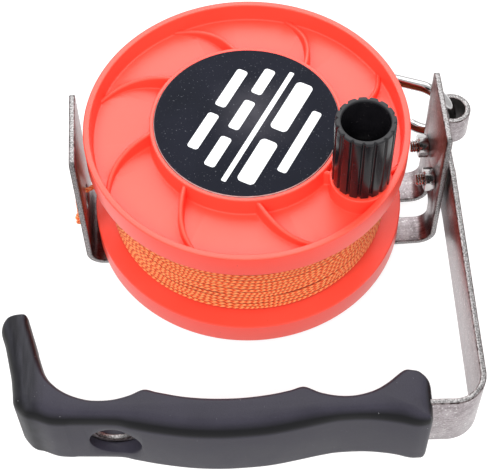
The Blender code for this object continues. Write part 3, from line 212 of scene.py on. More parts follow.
# Sheet steel of the bracket and the strap
STEEL = 0.0027
SHEET_ROUND = 0.0005
BEND_STEPS = 14
BRACKET_BEND_RADIUS = 0.0062
EAR_CORNER_RADIUS = 0.0025
EAR_INNER_X = highest("bracket").x - STEEL
WINDOW_FRONT_Y = -0.0065
WINDOW_WIDTH = 0.0108
WINDOW_INNER_X = highest("bracket").x - 0.0172
WINDOW_TOP_Z = 0.0168
WINDOW_CORNER_RADIUS = 0.0028
GUIDE_HOLE_RADIUS = 0.006
GUIDE_HOLE_Y = -0.002
GUIDE_HOLE_Z = 0.0315
BOLT_HOLE_RADIUS = 0.0033

# Handle strap
STRAP_LOW_Z = lowest("handle_strap").z
STRAP_HIGH_Z = highest("handle_strap").z
STRAP_MID_Z = (STRAP_LOW_Z + STRAP_HIGH_Z) / 2
STRAP_INNER_X = highest("strap_spacer_1").x + GAP
STRAP_LEAN_START_Y = -0.022
STRAP_LEAN = math.radians(1.7)
STRAP_CORNER_RADIUS = 0.0135
STRAP_FRONT_Y = -0.1371
STRAP_FRONT_SLOPE = math.radians(2.6)
TANG_END_X = -0.0880
TANG_HOLE_RADIUS = 0.009
CURL_INNER_RADIUS = 0.0064
CURL_MID_RADIUS = CURL_INNER_RADIUS + STEEL / 2
CURL_X = STRAP_INNER_X + STEEL / 2 + CURL_MID_RADIUS
CURL_Y = 0.026
CURL_SWEEP = math.radians(292.0)
TONGUE_WIDTH = 0.016
TONGUE_START_Y = CURL_Y - CURL_INNER_RADIUS
SHOULDER_RADIUS = 0.003

# Grip, moulded round the strap's end
GRIP_LOW_Z = lowest("handle_grip").z
GRIP_HIGH_Z = highest("handle_grip").z
GRIP_RIGHT_X = STRAP_INNER_X - 0.0245
GRIP_LENGTH = 0.182
GRIP_DEPTH = 0.0200
GRIP_BACK_Y = STRAP_FRONT_Y + 0.0096
GRIP_ROUND_HEIGHT = 0.0062
GRIP_ROUND_FRONT = 0.0078
GRIP_ROUND_BACK = 0.0030
GRIP_ROUND_SHARE = 0.85
GRIP_ROUND_STEPS = 7
GRIP_ROUND_SMOOTHING = 18
GRIP_SMOOTH_STEPS = 8
GRIP_TRIM = 0.00006
# Depth below the top and half width of the grip's band of painted dark reflection
GRIP_REFLECTION_BAND_DROP = 0.0030
GRIP_REFLECTION_BAND_HALF = 0.0026
LANYARD_HOLE_RADIUS = 0.011
LANYARD_HOLE_X = GRIP_RIGHT_X - 0.1343
LANYARD_ROUND = 0.0005
LANYARD_EDGE_ANGLE = math.radians(20.0)
GRIP_HOOK_X = GRIP_RIGHT_X - 0.89 * GRIP_LENGTH

# Bolts through strap and ear
BOLT_RADIUS = 0.003
BOLT_HEAD_RADIUS = 0.0055
BOLT_HEAD_HEIGHT = 0.0018
BOLT_HEAD_ROUND = 0.6 * BOLT_HEAD_HEIGHT
BOLT_SOCKET_RADIUS = 0.0021
BOLT_SOCKET_DEPTH = 0.7 * BOLT_HEAD_HEIGHT
NUT_CORNER_RADIUS = 0.005 / math.cos(math.pi / 6)
NUT_CHAMFER = 0.0006
FASTENER_ROUND = 0.0001
THREAD_PITCH = 0.00125
THREAD_DEPTH = 0.00052
THREAD_ROWS = 8
THREADED_SHARE = 0.6
WASHER_RADIUS = 0.0060
SPACER_RADIUS = 0.0062

# Wound line, its free end and its knot
LINE_DIAMETER = 0.0023
LINE_RADIUS = SPOOL_RADIUS - 0.008 - LINE_DIAMETER / 2
LINE_TURNS = 17.5
LINE_PACKING = 0.00231
LINE_SAG = 0.00010
LINE_SAG_WAVES = 5
LINE_SAG_SHIFT = 1.7
LINE_DRIFT = 0.00008
LINE_DRIFT_RATE = 2.3
LINE_DIVE_TURNS = 0.15
LUMP_STEPS = 4
LUMP_SHARE = 0.06
PLAIT_LENGTH = 0.002634
PLAITS_A_TURN = 157.4
# Where the plait is drawn tighter and looser: how many plaits, how fast by the metre, and where
# each wave starts
PLAIT_WAVES = ((0.7, 58.0, 0.0), (0.5, 137.0, 1.0))
# Marks of the plait, round the line and along it
STRANDS_ROUND = 4.0
CHEVRON_START = 1.88
CHEVRON_SLANT = 0.9
SEAM_SHARPNESS = 6.0
# Band of painted shade in the grooves between wound turns: its middle round the tube, half width
# and fade
GROOVE_SHADE_MIDDLE = 0.325
GROOVE_SHADE_HALF = 0.062
GROOVE_SHADE_FADE = 11.0
# Layers below the outer one
BED_TURNS = 18
BED_DEPTH = 1.05 * LINE_DIAMETER
BED_BULGE = math.radians(72.0)
BED_WAVE = 0.0006
BED_WAVE_RATE = 300.0
# Last stretch, from under the turns up to where the free end leaves
CROSSING_TURNS = 0.36
CROSSING_RISE_SHARE = 0.16
CROSSING_DEPTH = 1.5
CROSSING_HEIGHT = 0.0085
CROSSING_POWER = 1.3
KNOT_STRAND_SHARE = 0.42
KNOT_STEPS = 96
TAIL_STEPS = 12
TAIL_ROUTE = (
    (-0.0312, 0.0610, 0.0336),
    (-0.0422, 0.0541, 0.0337),
    (-0.0516, 0.0453, 0.0338),
    (-0.0593, 0.0348, 0.0338),
    (-0.0649, 0.0232, 0.0338),
    (-0.0687, 0.0124, 0.0338),
    (-0.0719, 0.0050, 0.0338),
    (-0.0762, 0.0012, 0.0337),
    (-0.0801, 0.0000, 0.0329),
    (-0.0826, -0.0004, 0.0303),
    (-0.0834, -0.0006, 0.0264),
    (-0.0836, -0.0002, 0.0218),
    (-0.0838, 0.0004, 0.0172),
    (-0.0841, 0.0010, 0.0127),
)
# Dark gaps in the winding: the turn that each opens below, the angle of its middle and how far
# it reaches to both sides, in degrees, and how wide it opens
LINE_GAPS = (
    (5, -110.0, 20.0, 0.00120),
    (4, -72.0, 20.0, 0.00110),
    (7, -137.0, 18.0, 0.00080),
    (3, -141.0, 22.0, 0.00060),
    (8, -88.0, 24.0, 0.00050),
    (2, -98.0, 26.0, 0.00045),
    (6, -42.0, 20.0, 0.00090),
    (10, -60.0, 18.0, 0.00050),
    (0, -160.0, 24.0, 0.00080),
    (11, 60.0, 44.0, 0.00080),
    (7, 140.0, 50.0, 0.00060),
    (3, 22.0, 40.0, 0.00070),
    (2, 98.0, 50.0, 0.00080),
)

# Snap hook
SNAP_WIRE_RADIUS = 0.0028
SNAP_HALF_HEIGHT = 0.016
SNAP_FAR_RADIUS = 0.0105
SNAP_LENGTH = 0.060
SNAP_ANGLE = math.radians(150.0)
SNAP_ARC_STEPS = 32
GATE_RADIUS = 0.0024
GATE_FREE_S = 0.0205
GATE_PIN_S = 0.045
GATE_END_GAP = 0.0004
GATE_PIN_RADIUS = 0.0009
GATE_END_ROUND = 0.0004
SNAP_END_ROUND = 0.0006
SNAP_NOSE_RUN = 0.002
ROD_END_ANGLE = math.radians(60.0)
HINGE_EYE_THICKNESS = 0.0018
HINGE_EYE_RADIUS = 0.0020
HINGE_ROOT_S = GATE_PIN_S + 0.0042

# Selector lever and its thumb tab
LEVER_LOW, LEVER_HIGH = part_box("selector_lever")
LEVER_X = (LEVER_LOW.x + LEVER_HIGH.x) / 2
LEVER_THICKNESS = 0.0018
LEVER_ROUND = 0.00015
LEVER_PIVOT_Y = 0.0155
LEVER_HOLE_RADIUS = 0.0025
LEVER_END_SHARE = 0.6
NOSE_LOW_X = 0.046
NOSE_HIGH_X = 0.0486
NOSE_WIDTH = 0.0042
TAB_LOW, TAB_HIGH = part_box("selector_tab")
TAB_CORNER = 0.0028
TAB_ROUND = 0.0012
TAB_GROOVES = 4
TAB_GROOVE_START = 0.0040
TAB_GROOVE_PITCH = 0.0027
TAB_GROOVE_RADIUS = 0.0009
TAB_GROOVE_LIFT = 0.0003
TAB_GROOVE_SIDES = 24

# Heights above which the rims of knob and tab are rubbed grey, and how sharply a rub and a
# speck end
KNOB_RUBBED_Z = KNOB_HIGH.z - 0.0016
TAB_RUBBED_Z = TAB_HIGH.z - 0.0006
RUB_FADE = 900.0
FLECK_FADE = 30.0

# Grip outline, from its right end round the finger side, the hook and the palm side:
# shares of the grip's length to the left, and of its depth towards the spool
GRIP_OUTLINE_SHARES = (
    (0.0040, -0.652), (0.0002, -0.242), (0.0014, 0.060), (0.0192, 0.286), (0.0390, 0.355),
    (0.0615, 0.351), (0.1013, 0.096), (0.1344, -0.060), (0.1746, -0.142), (0.2136, -0.131),
    (0.2543, -0.033), (0.2927, 0.133), (0.3281, 0.068), (0.3706, 0.007), (0.4200, -0.027),
    (0.4641, -0.028), (0.5184, 0.008), (0.5734, 0.089), (0.6287, 0.224), (0.6637, 0.314),
    (0.7002, 0.195), (0.7368, 0.126), (0.7743, 0.130), (0.8045, 0.188), (0.8404, 0.337),
    (0.8702, 0.554), (0.8905, 0.815), (0.9049, 1.211), (0.9196, 1.702), (0.9310, 2.075),
    (0.9380, 2.290), (0.9615, 2.335), (0.9867, 2.249), (0.9996, 1.981), (0.9891, 1.576),
    (0.9774, 1.019), (0.9732, 0.801), (0.9695, 0.480), (0.9664, 0.198), (0.9531, -0.004),
    (0.9378, -0.136), (0.9150, -0.212), (0.8843, -0.334), (0.8520, -0.377), (0.8257, -0.382),
    (0.7368, -0.450), (0.6989, -0.552), (0.6424, -0.693), (0.5679, -0.832), (0.4988, -0.902),
    (0.4380, -0.915), (0.3773, -0.896), (0.3156, -0.822), (0.2535, -0.728), (0.2120, -0.689),
    (0.1488, -0.712), (0.0890, -0.816), (0.0498, -0.921), (0.0279, -0.931), (0.0098, -0.870),
)


# Finishes

class Wire:
    """A number that varies over a surface, which Python's operators work on."""

    def __init__(self, finish, socket):
        self.finish = finish
        self.socket = socket

    def maths(self, operation, first, second=0.0):
        return self.finish.node("ShaderNodeMath", {"operation": operation},
                                {0: first, 1: second})

    def __add__(self, other):
        return self.maths("ADD", self, other)

    def __sub__(self, other):
        return self.maths("SUBTRACT", self, other)

    def __rsub__(self, other):
        return self.maths("SUBTRACT", other, self)

    def __mul__(self, other):
        return self.maths("MULTIPLY", self, other)

    def __mod__(self, other):
        return self.maths("FLOORED_MODULO", self, other)

    def __pow__(self, other):
        return self.maths("POWER", self, other)

    def __abs__(self):
        return self.maths("ABSOLUTE", self)

    __radd__ = __add__
    __rmul__ = __mul__

    def capped(self):
        return self.maths("MINIMUM", self.maths("MAXIMUM", self, 0.0), 1.0)


class Nodes:
    """A node tree that grows by one method."""

    def __init__(self, tree):
        self.tree = tree

    def node(self, kind, settings, inputs, output=0):
        """A node of that kind: settings first, then the values or links of its sockets."""
        made = self.tree.nodes.new(kind)
        for name, value in settings.items():
            if name == "stops":
                self.set_stops(made.color_ramp, value)
            else:
                setattr(made, name, value)
        for socket, value in inputs.items():
            self.put(made, socket, value)
        return Wire(self, made.outputs[output])

    def put(self, node, socket, value):
        """Gives a node's socket a constant or a link."""
        if isinstance(value, Wire):
            self.tree.links.new(value.socket, node.inputs[socket])
        else:
            node.inputs[socket].default_value = value

    def set_stops(self, ramp, stops):
        while len(ramp.elements) < len(stops):
            ramp.elements.new(1.0)
        for element, (position, colour) in zip(ramp.elements, stops):
            element.position = position
            element.color = (*colour, 1.0)

    def seen(self):
        """1 for rays of the camera and of reflections, and 0 for those that only light."""
        rays = [self.node("ShaderNodeLightPath", {}, {}, f"Is {kind} Ray")
                for kind in ("Camera", "Glossy", "Transmission")]
        return (rays[0] + rays[1] + rays[2]).capped()


class Finish(Nodes):
    """The finish of one material: a Principled shader and the nodes that feed it."""

    # Sockets of a colour mix, whose names it shares with those for numbers
    MIX_SHARE = 0
    MIX_COLOURS = (6, 7)
    MIX_RESULT = 2

    def __init__(self, name, colour, roughness, metallic=0.0, specular=0.5):
        self.material = bpy.data.materials.new(name)
        self.material.use_nodes = True
        super().__init__(self.material.node_tree)
        self.shader = self.tree.nodes["Principled BSDF"]
        self.feed("Base Color", (*colour, 1.0))
        self.feed("Roughness", roughness)
        self.feed("Metallic", metallic)
        self.feed("Specular IOR Level", specular)

    def feed(self, socket, value):
        self.put(self.shader, socket, value)

    def place(self, stretch=(1.0, 1.0, 1.0)):
        """The reel's own coordinates, stretched for a pattern that runs one way."""
        here = self.node("ShaderNodeTexCoord", {}, {}, "Object")
        return self.node("ShaderNodeMapping", {}, {"Vector": here, "Scale": stretch})

    def axis(self, vector, letter):
        """One coordinate of a vector."""
        return self.node("ShaderNodeSeparateXYZ", {}, {"Vector": vector}, letter)

    def noise(self, place, size, detail=2.0):
        """Clouds about that size across, in metres."""
        return self.node("ShaderNodeTexNoise", {},
                         {"Vector": place, "Scale": 1.0 / size, "Detail": detail}, "Fac")

    def ramp(self, value, stops):
        return self.node("ShaderNodeValToRGB", {"stops": stops}, {"Fac": value}, "Color")

    def blend(self, first, second, share):
        """One colour passing into another."""
        ends = {self.MIX_SHARE: share}
        for socket, colour in zip(self.MIX_COLOURS, (first, second)):
            ends[socket] = colour if isinstance(colour, Wire) else (*colour, 1.0)
        return self.node("ShaderNodeMix", {"data_type": "RGBA"}, ends, self.MIX_RESULT)

    def bump(self, height, distance, strength=1.0):
        self.feed("Normal", self.node("ShaderNodeBump", {}, {
            "Height": height, "Distance": distance, "Strength": strength}, "Normal"))


def flecks(finish, place, size, rarity):
    """A mask of scattered specks."""
    return ((finish.noise(place, size, 1.0) - rarity) * FLECK_FADE).capped()


def spool_plastic():
    """Bright moulded plastic: satin, a little cloudy, with a few specks of dirt."""
    finish = Finish("spool_plastic", (0.95, 0.075, 0.045), 0.36, specular=0.60)
    deep_orange = (0.95, 0.056, 0.031)
    pale_orange = (0.97, 0.078, 0.048)
    dirt_brown = (0.30, 0.02, 0.015)
    place = finish.place()
    clouds = finish.noise(place, 0.03)
    dirt = flecks(finish, place, 0.0016, 0.765)
    orange = finish.blend(deep_orange, pale_orange, clouds)
    finish.feed("Base Color", finish.blend(orange, dirt_brown, dirt * 0.5))
    finish.feed("Roughness", clouds * 0.10 + 0.32)
    finish.bump(finish.noise(place, 0.0007) + clouds * 4.0, 0.00002)
    return finish.material


def sheet_steel(name, stretch):
    """Rolled stainless sheet: fine lines along the strip, mottled, with small scratches."""
    finish = Finish(name, (0.42, 0.40, 0.39), 0.34, 1.0)
    lines = finish.noise(finish.place(stretch), 0.0006, 3.0)
    place = finish.place()
    clouds = finish.noise(place, 0.0045, 4.0)
    grains = finish.noise(place, 0.0008, 3.0)
    mottle = lines * 0.30 + clouds * 0.35 + grains * 0.35
    # The tones lean pink: a painted reflection of the red spool
    pale = finish.ramp(mottle, ((0.40, (0.21, 0.182, 0.190)), (0.50, (0.31, 0.274, 0.284)),
                                (0.62, (0.44, 0.402, 0.412))))
    scratch = (0.70, 0.69, 0.68)
    scratches = flecks(finish, place, 0.0012, 0.66)
    finish.feed("Base Color", finish.blend(pale, scratch, scratches * 0.6))
    finish.feed("Roughness", clouds * 0.20 + lines * 0.14 + 0.18)
    finish.bump(lines + grains * 1.4, 0.00003, 0.7)
    return finish.material


def cut_edge_steel():
    """The strip's sheared edges, finely grained."""
    finish = Finish("cut_edge_steel", (0.36, 0.355, 0.35), 0.5, 1.0)
    place = finish.place()
    grains = finish.noise(place, 0.0007, 3.0)
    shade = finish.ramp(grains, ((0.36, (0.13, 0.125, 0.125)), (0.50, (0.24, 0.23, 0.23)),
                                 (0.64, (0.42, 0.41, 0.41))))
    finish.feed("Base Color", shade)
    finish.feed("Roughness", grains * 0.20 + 0.34)
    finish.bump(grains, 0.00004, 0.6)
    return finish.material


def painted_dark_corner():
    """The strip's rounded corners, painted darker than its faces: a painted dark reflection along
    the edges.
    """
    finish = Finish("painted_dark_corner", (0.12, 0.09, 0.09), 0.4, 1.0)
    stain = finish.noise(finish.place(), 0.0016, 3.0)
    finish.feed("Base Color", finish.ramp(stain, ((0.40, (0.055, 0.040, 0.040)),
                                                  (0.60, (0.24, 0.20, 0.20)))))
    finish.feed("Roughness", stain * 0.2 + 0.30)
    return finish.material


def stained(name, colour, roughness, metallic, size, dark, pale, spread=0.0, least=0.0,
            relief=None, detail=3.0):
    """A finish that passes from a dark tone to a pale one in stains of that size.

    The stains spread the roughness up from the least. A relief is a grain's size, depth and
    strength; the stains are the grain where the sizes agree.
    """
    finish = Finish(name, colour, roughness, metallic)
    place = finish.place()
    stain = finish.noise(place, size, detail)
    finish.feed("Base Color", finish.blend(dark, pale, stain))
    if spread > 0.0:
        finish.feed("Roughness", stain * spread + least)
    if relief is not None:
        grain_size, depth, strength = relief
        grain = stain if grain_size == size else finish.noise(place, grain_size)
        finish.bump(grain, depth, strength)
    return finish.material


def plate_film():
    """The dark film of the round plate, with dust and a faint light patch."""
    finish = Finish("plate_film", (0.010, 0.011, 0.018), 0.24, specular=0.04)
    deep_slate = (0.004, 0.005, 0.009)
    pale_slate = (0.012, 0.013, 0.022)
    patch_grey = (0.10, 0.095, 0.11)
    dust_grey = (0.24, 0.25, 0.28)
    patch_x = 0.005
    patch_y = 0.004
    patch_fade = 45.0
    place = finish.place()
    clouds = finish.noise(place, 0.02, 3.0)
    dust = flecks(finish, place, 0.0007, 0.72)
    across = abs(finish.axis(place, "X") - patch_x) * patch_fade
    up = abs(finish.axis(place, "Y") - patch_y) * patch_fade
    patch = (1.0 - across).capped() * (1.0 - up).capped()
    slate = finish.blend(deep_slate, pale_slate, clouds)
    slate = finish.blend(slate, patch_grey, patch * clouds)
    finish.feed("Base Color", finish.blend(slate, dust_grey, dust * 0.4))
    finish.feed("Roughness", clouds * 0.26 + 0.14)
    finish.bump(finish.noise(place, 0.0009), 0.00002, 0.5)
    return finish.material


def grip_plastic():
    """Dark moulded plastic: a fine grain, smears, streaks on the hook, scuffs and dust.

    A painted dark reflection runs as a darker band along the rounding below its upper face.
    """
    finish = Finish("grip_plastic", (0.022, 0.021, 0.029), 0.46, specular=0.20)
    deep_grey = (0.012, 0.011, 0.017)
    pale_grey = (0.041, 0.038, 0.053)
    painted_reflection_black = (0.004, 0.004, 0.005)
    dust_grey = (0.50, 0.50, 0.51)
    streak_stops = ((0.36, (0.003, 0.003, 0.004)), (0.66, (0.026, 0.026, 0.032)))
    hook_fade = 160.0
    place = finish.place()
    grain = finish.noise(place, 0.0005, 3.0)
    smears = finish.noise(place, 0.013, 4.0)
    dust = flecks(finish, place, 0.0008, 0.80)
    hook = ((GRIP_HOOK_X - finish.axis(place, "X")) * hook_fade).capped()
    streaks = finish.noise(finish.place((1.0, 0.12, 0.4)), 0.0030, 3.0)
    # Band of painted dark reflection along the upper rounding, placed by height
    off_reflection_band = abs(finish.axis(place, "Z") - GRIP_HIGH_Z + GRIP_REFLECTION_BAND_DROP)
    reflection_band = (1.0 - off_reflection_band * (1.0 / GRIP_REFLECTION_BAND_HALF)).capped()
    shade = finish.blend(deep_grey, pale_grey, smears * 0.50 + grain * 0.50)
    shade = finish.blend(shade, finish.ramp(streaks, streak_stops), hook * 0.85)
    shade = finish.blend(shade, painted_reflection_black, (reflection_band * 1.6).capped())
    finish.feed("Base Color", finish.blend(shade, dust_grey, dust * 0.8))
    finish.feed("Roughness", smears * 0.20 + streaks * hook * 0.10 + 0.34 - reflection_band * 0.10)
    finish.bump(grain + smears * 2.0, 0.00005)
    return finish.material


def black_plastic(name, rubbed_above):
    """Black moulded plastic, rubbed grey above a height and scuffed."""
    finish = Finish(name, (0.008, 0.008, 0.009), 0.28, specular=0.26)
    deep_black = (0.004, 0.004, 0.005)
    pale_black = (0.011, 0.010, 0.012)
    rubbed_grey = (0.017, 0.017, 0.019)
    scuff_grey = (0.12, 0.11, 0.11)
    place = finish.place()
    rubbed = ((finish.axis(place, "Z") - rubbed_above) * RUB_FADE).capped()
    clouds = finish.noise(place, 0.003, 3.0)
    scuffs = flecks(finish, place, 0.0011, 0.73)
    shade = finish.blend(deep_black, pale_black, clouds)
    shade = finish.blend(shade, rubbed_grey, rubbed * (clouds * 0.6 + 0.5))
    finish.feed("Base Color", finish.blend(shade, scuff_grey, scuffs * 0.35))
    finish.feed("Roughness", clouds * 0.14 + rubbed * 0.14 + 0.13)
    finish.bump(finish.noise(place, 0.0009) + scuffs, 0.00002, 0.5)
    return finish.material


def plaited_line(name, pale, mid, dark, wound=False):
    """Plaited line: slanting strands meet in chevrons along the tube's own length.

    Where it is wound, the middle of the chevrons faces up and out, and the grooves take a painted
    shade.
    """
    finish = Finish(name, mid, 0.62)
    finish.feed("Sheen Weight", 0.08)
    painted_groove_shade = (0.30, 0.013, 0.004)
    lengthwise = finish.node("ShaderNodeTexCoord", {}, {}, "UV")
    along = finish.axis(lengthwise, "X")
    around = finish.axis(lengthwise, "Y")
    slant = abs((around * STRANDS_ROUND + CHEVRON_START) % 2.0 - 1.0)
    strand = 1.0 - abs((along + slant * CHEVRON_SLANT) % 1.0 - 0.5) * 2.0
    seam = (1.0 - slant) ** SEAM_SHARPNESS
    place = finish.place()
    fuzz = finish.noise(place, 0.0005)
    height = strand * 0.80 + fuzz * 0.40 - seam * 0.14 - 0.10
    shade = finish.ramp(height, ((0.08, dark), (0.34, mid), (0.72, pale)))
    dull = finish.noise(place, 0.006)
    shade = finish.blend(shade, mid, dull * 0.3)
    if wound:
        # Painted shade in the grooves between the wound turns, placed by where it lies round the
        # tube
        groove_shade_mask = ((abs(around - GROOVE_SHADE_MIDDLE) - GROOVE_SHADE_HALF) * GROOVE_SHADE_FADE).capped()
        shade = finish.blend(shade, painted_groove_shade, groove_shade_mask * 0.90)
    finish.feed("Base Color", shade)
    finish.bump(height, 0.00030, 0.9)
    return finish.material


FINISHES = {
    "spool": spool_plastic(),
    "bracket": sheet_steel("bracket_steel", (0.06, 1.0, 0.06)),
    "strap": sheet_steel("strap_steel", (0.06, 0.06, 1.0)),
    "edge": cut_edge_steel(),
    "corner": painted_dark_corner(),
    # The inside of the strap's curl: painted shade, dark like the deep roll's shadow
    "curl": stained("curl_painted_shade", (0.05, 0.047, 0.046), 0.55, 0.6, 0.002,
                    (0.025, 0.024, 0.024), (0.09, 0.08, 0.078), 0.2, 0.45),
    "bright": stained("bright_fastener_steel", (0.60, 0.59, 0.58), 0.18, 1.0, 0.0025,
                      (0.36, 0.345, 0.345), (0.60, 0.59, 0.585), 0.16, 0.06,
                      relief=(0.0006, 0.00002, 0.6)),
    "polished": stained("polished_steel", (0.72, 0.715, 0.715), 0.10, 1.0, 0.004,
                        (0.34, 0.33, 0.33), (0.52, 0.515, 0.515), 0.10, 0.05,
                        relief=(0.004, 0.00003, 0.4)),
    "plate": plate_film(),
    "plate_edge": stained("plate_edge", (0.72, 0.60, 0.58), 0.35, 0.0, 0.003,
                          (0.30, 0.12, 0.11), (0.62, 0.42, 0.40), detail=2.0),
    "ink": stained("white_ink", (0.86, 0.87, 0.88), 0.45, 0.0, 0.0012,
                   (0.74, 0.75, 0.77), (0.90, 0.91, 0.92), 0.2, 0.35),
    "grip": grip_plastic(),
    "knob": black_plastic("knob_plastic", KNOB_RUBBED_Z),
    "tab": black_plastic("tab_plastic", TAB_RUBBED_Z),
    "line": plaited_line("plaited_line", (1.00, 0.41, 0.15), (0.97, 0.165, 0.042),
                         (0.56, 0.034, 0.007)),
    "wound": plaited_line("wound_line", (1.00, 0.39, 0.14), (0.97, 0.150, 0.038),
                          (0.56, 0.034, 0.007), wound=True),
    # The layers below the outer turns: the line's colours darkened as painted shade
    "line_painted_shade": plaited_line("plaited_line_painted_shade", (0.24, 0.022, 0.007), (0.17, 0.009, 0.003),
                              (0.07, 0.003, 0.001)),
    "nylon": stained("bearing_nylon", (0.74, 0.73, 0.68), 0.45, 0.0, 0.004,
                     (0.66, 0.64, 0.58), (0.80, 0.79, 0.75), 0.2, 0.35,
                     relief=(0.004, 0.00002, 0.5), detail=2.0),
}


# Shaping

def linked(name, data):
    """A new object in the scene."""
    made = bpy.data.objects.new(name, data)
    bpy.context.scene.collection.objects.link(made)
    return made


def as_mesh(name, bm):
    """A shape made a mesh, in the shape's stead."""
    mesh = bpy.data.meshes.new(name)
    bm.to_mesh(mesh)
    bm.free()
    return mesh


def as_shape(mesh):
    """A mesh made a shape, in the mesh's stead, with its doubles merged."""
    bm = bmesh.new()
    bm.from_mesh(mesh)
    bpy.data.meshes.remove(mesh)
    bmesh.ops.remove_doubles(bm, verts=bm.verts, dist=MERGE)
    return bm


def built(made):
    """The mesh that a scratch object comes to."""
    bpy.context.view_layer.update()
    graph = bpy.context.evaluated_depsgraph_get()
    return bpy.data.meshes.new_from_object(made.evaluated_get(graph), depsgraph=graph)


def finished(name, bm, finishes, body, slot, *nodes, sharp=SHARP_ANGLE):
    """A piece of the reel: its shape, finishes, body and the nodes it stands for. The slot is not
    used.
    """
    mesh = as_mesh(name, bm)
    for finish in finishes:
        mesh.materials.append(FINISHES[finish])
    mesh.shade_smooth()
    mesh.set_sharp_from_angle(angle=sharp)
    piece = linked(name, mesh)
    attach(piece, body)
    if nodes:
        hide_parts(*nodes)
    return piece


def dress(finish, *nodes):
    """Gives a node's own shape a better finish."""
    for node in nodes:
        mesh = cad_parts[node].data
        mesh.materials.clear()
        mesh.materials.append(FINISHES[finish])


def rounded(corners, steps=5):
    """A closed chain of points through corners given as (across, up, fillet radius)."""
    points = []
    for i, (across, up, radius) in enumerate(corners):
        here = Vector((across, up))
        if radius == 0.0:
            points.append((across, up))
            continue
        back = (Vector(corners[i - 1][:2]) - here).normalized()
        ahead = (Vector(corners[(i + 1) % len(corners)][:2]) - here).normalized()
        half = back.angle(ahead) / 2
        centre = here + (back + ahead).normalized() * (radius / math.sin(half))
        first = here + back * (radius / math.tan(half)) - centre
        last = here + ahead * (radius / math.tan(half)) - centre
        for k in range(steps + 1):
            spoke = first.lerp(last, k / steps).normalized() * radius
            points.append(tuple(centre + spoke))
    return points


def arc(centre, radius, start, end, steps):
    return [(centre[0] + radius * math.cos(start + (end - start) * i / steps),
             centre[1] + radius * math.sin(start + (end - start) * i / steps))
            for i in range(steps + 1)]


def circle(radius, sides, centre=(0.0, 0.0)):
    return arc(centre, radius, 0.0, math.tau, sides)[:-1]


def rectangle(left, near, right, far, radius=0.0, steps=5):
    """A rectangle's outline, rounded where a radius is given."""
    return rounded([(left, near, radius), (right, near, radius), (right, far, radius),
                    (left, far, radius)], steps)


def moved(bm, place):
    bmesh.ops.translate(bm, verts=bm.verts, vec=place)
    return bm


def swung(bm, angle):
    """The shape swung round the axle."""
    bmesh.ops.rotate(bm, verts=bm.verts, cent=(0, 0, 0), matrix=Matrix.Rotation(angle, 3, 'Z'))
    return bm


def radius_of(vert):
    """How far from the vertical axis a corner of a shape lies."""
    return math.hypot(vert.co.x, vert.co.y)


def turned(profile, sides, centre=(0.0, 0.0)):
    """A half section spun round the vertical. It may end on the axis or close on itself."""
    bm = bmesh.new()
    chain = [bm.verts.new((radius, 0.0, height)) for radius, height in profile]
    edges = [bm.edges.new(pair) for pair in zip(chain, chain[1:])]
    if profile[0][0] > 0.0:
        edges.append(bm.edges.new((chain[-1], chain[0])))
    bmesh.ops.spin(bm, geom=chain + edges, cent=(0, 0, 0), axis=(0, 0, 1),
                   angle=math.tau, steps=sides, use_merge=True)
    bmesh.ops.remove_doubles(bm, verts=bm.verts, dist=MERGE)
    bmesh.ops.recalc_face_normals(bm, faces=bm.faces)
    return moved(bm, (*centre, 0.0))


def extruded(outline, low, high, axis=2):
    """An outline in the other two axes, extruded from low to high along this one."""
    bm = bmesh.new()
    corners = []
    for first, second in outline:
        place = [first, second]
        place.insert(axis, low)
        corners.append(bm.verts.new(place))
    reach = [0.0, 0.0, 0.0]
    reach[axis] = high - low
    grown = bmesh.ops.extrude_face_region(bm, geom=[bm.faces.new(corners)])
    ends = [item for item in grown["geom"] if isinstance(item, bmesh.types.BMVert)]
    bmesh.ops.translate(bm, verts=ends, vec=reach)
    bmesh.ops.recalc_face_normals(bm, faces=bm.faces)
    return bm


def gathered(shapes):
    """Several separate shapes as one mesh."""
    bm = bmesh.new()
    for shape in shapes:
        mesh = as_mesh("gathered", shape)
        bm.from_mesh(mesh)
        bpy.data.meshes.remove(mesh)
    return bm


def painted(bm, index):
    """Every face takes that finish of its piece."""
    for face in bm.faces:
        face.material_index = index
    return bm


def bevelled(bm, edges, width, steps):
    """Rounds those edges, and gives the faces of the rounding."""
    return bmesh.ops.bevel(bm, geom=edges, offset=width, segments=steps, profile=0.5,
                           affect='EDGES', material=-1)["faces"]


def soften(bm, width, steps=2, sharp=SHARP_ANGLE, choose=None, paint=None):
    """Rounds the sharp edges, or those that choose picks, and may paint the rounding."""
    edges = [edge for edge in bm.edges if len(edge.link_faces) == 2
             and edge.calc_face_angle() > sharp and (choose is None or choose(edge))]
    rounding = bevelled(bm, edges, width, steps)
    if paint is not None:
        for face in rounding:
            face.material_index = paint
    return bm


def solid_object(bm):
    """A shape as an object with as many finishes as a Boolean needs to keep them apart."""
    mesh = as_mesh("solid", bm)
    for _ in range(3):
        mesh.materials.append(None)
    return linked("solid", mesh)


def combined(bm, *steps):
    """The shape after each step, a Boolean operation and its other shape, in turn."""
    base = solid_object(bm)
    others = []
    for operation, shape in steps:
        other = solid_object(shape)
        others.append(other)
        step = base.modifiers.new("step", 'BOOLEAN')
        step.operation = operation
        step.solver = 'EXACT'
        step.object = other
    mesh = built(base)
    for made in [base] + others:
        bpy.data.objects.remove(made, do_unlink=True)
    result = as_shape(mesh)
    bmesh.ops.dissolve_degenerate(result, edges=result.edges, dist=MERGE)
    return result


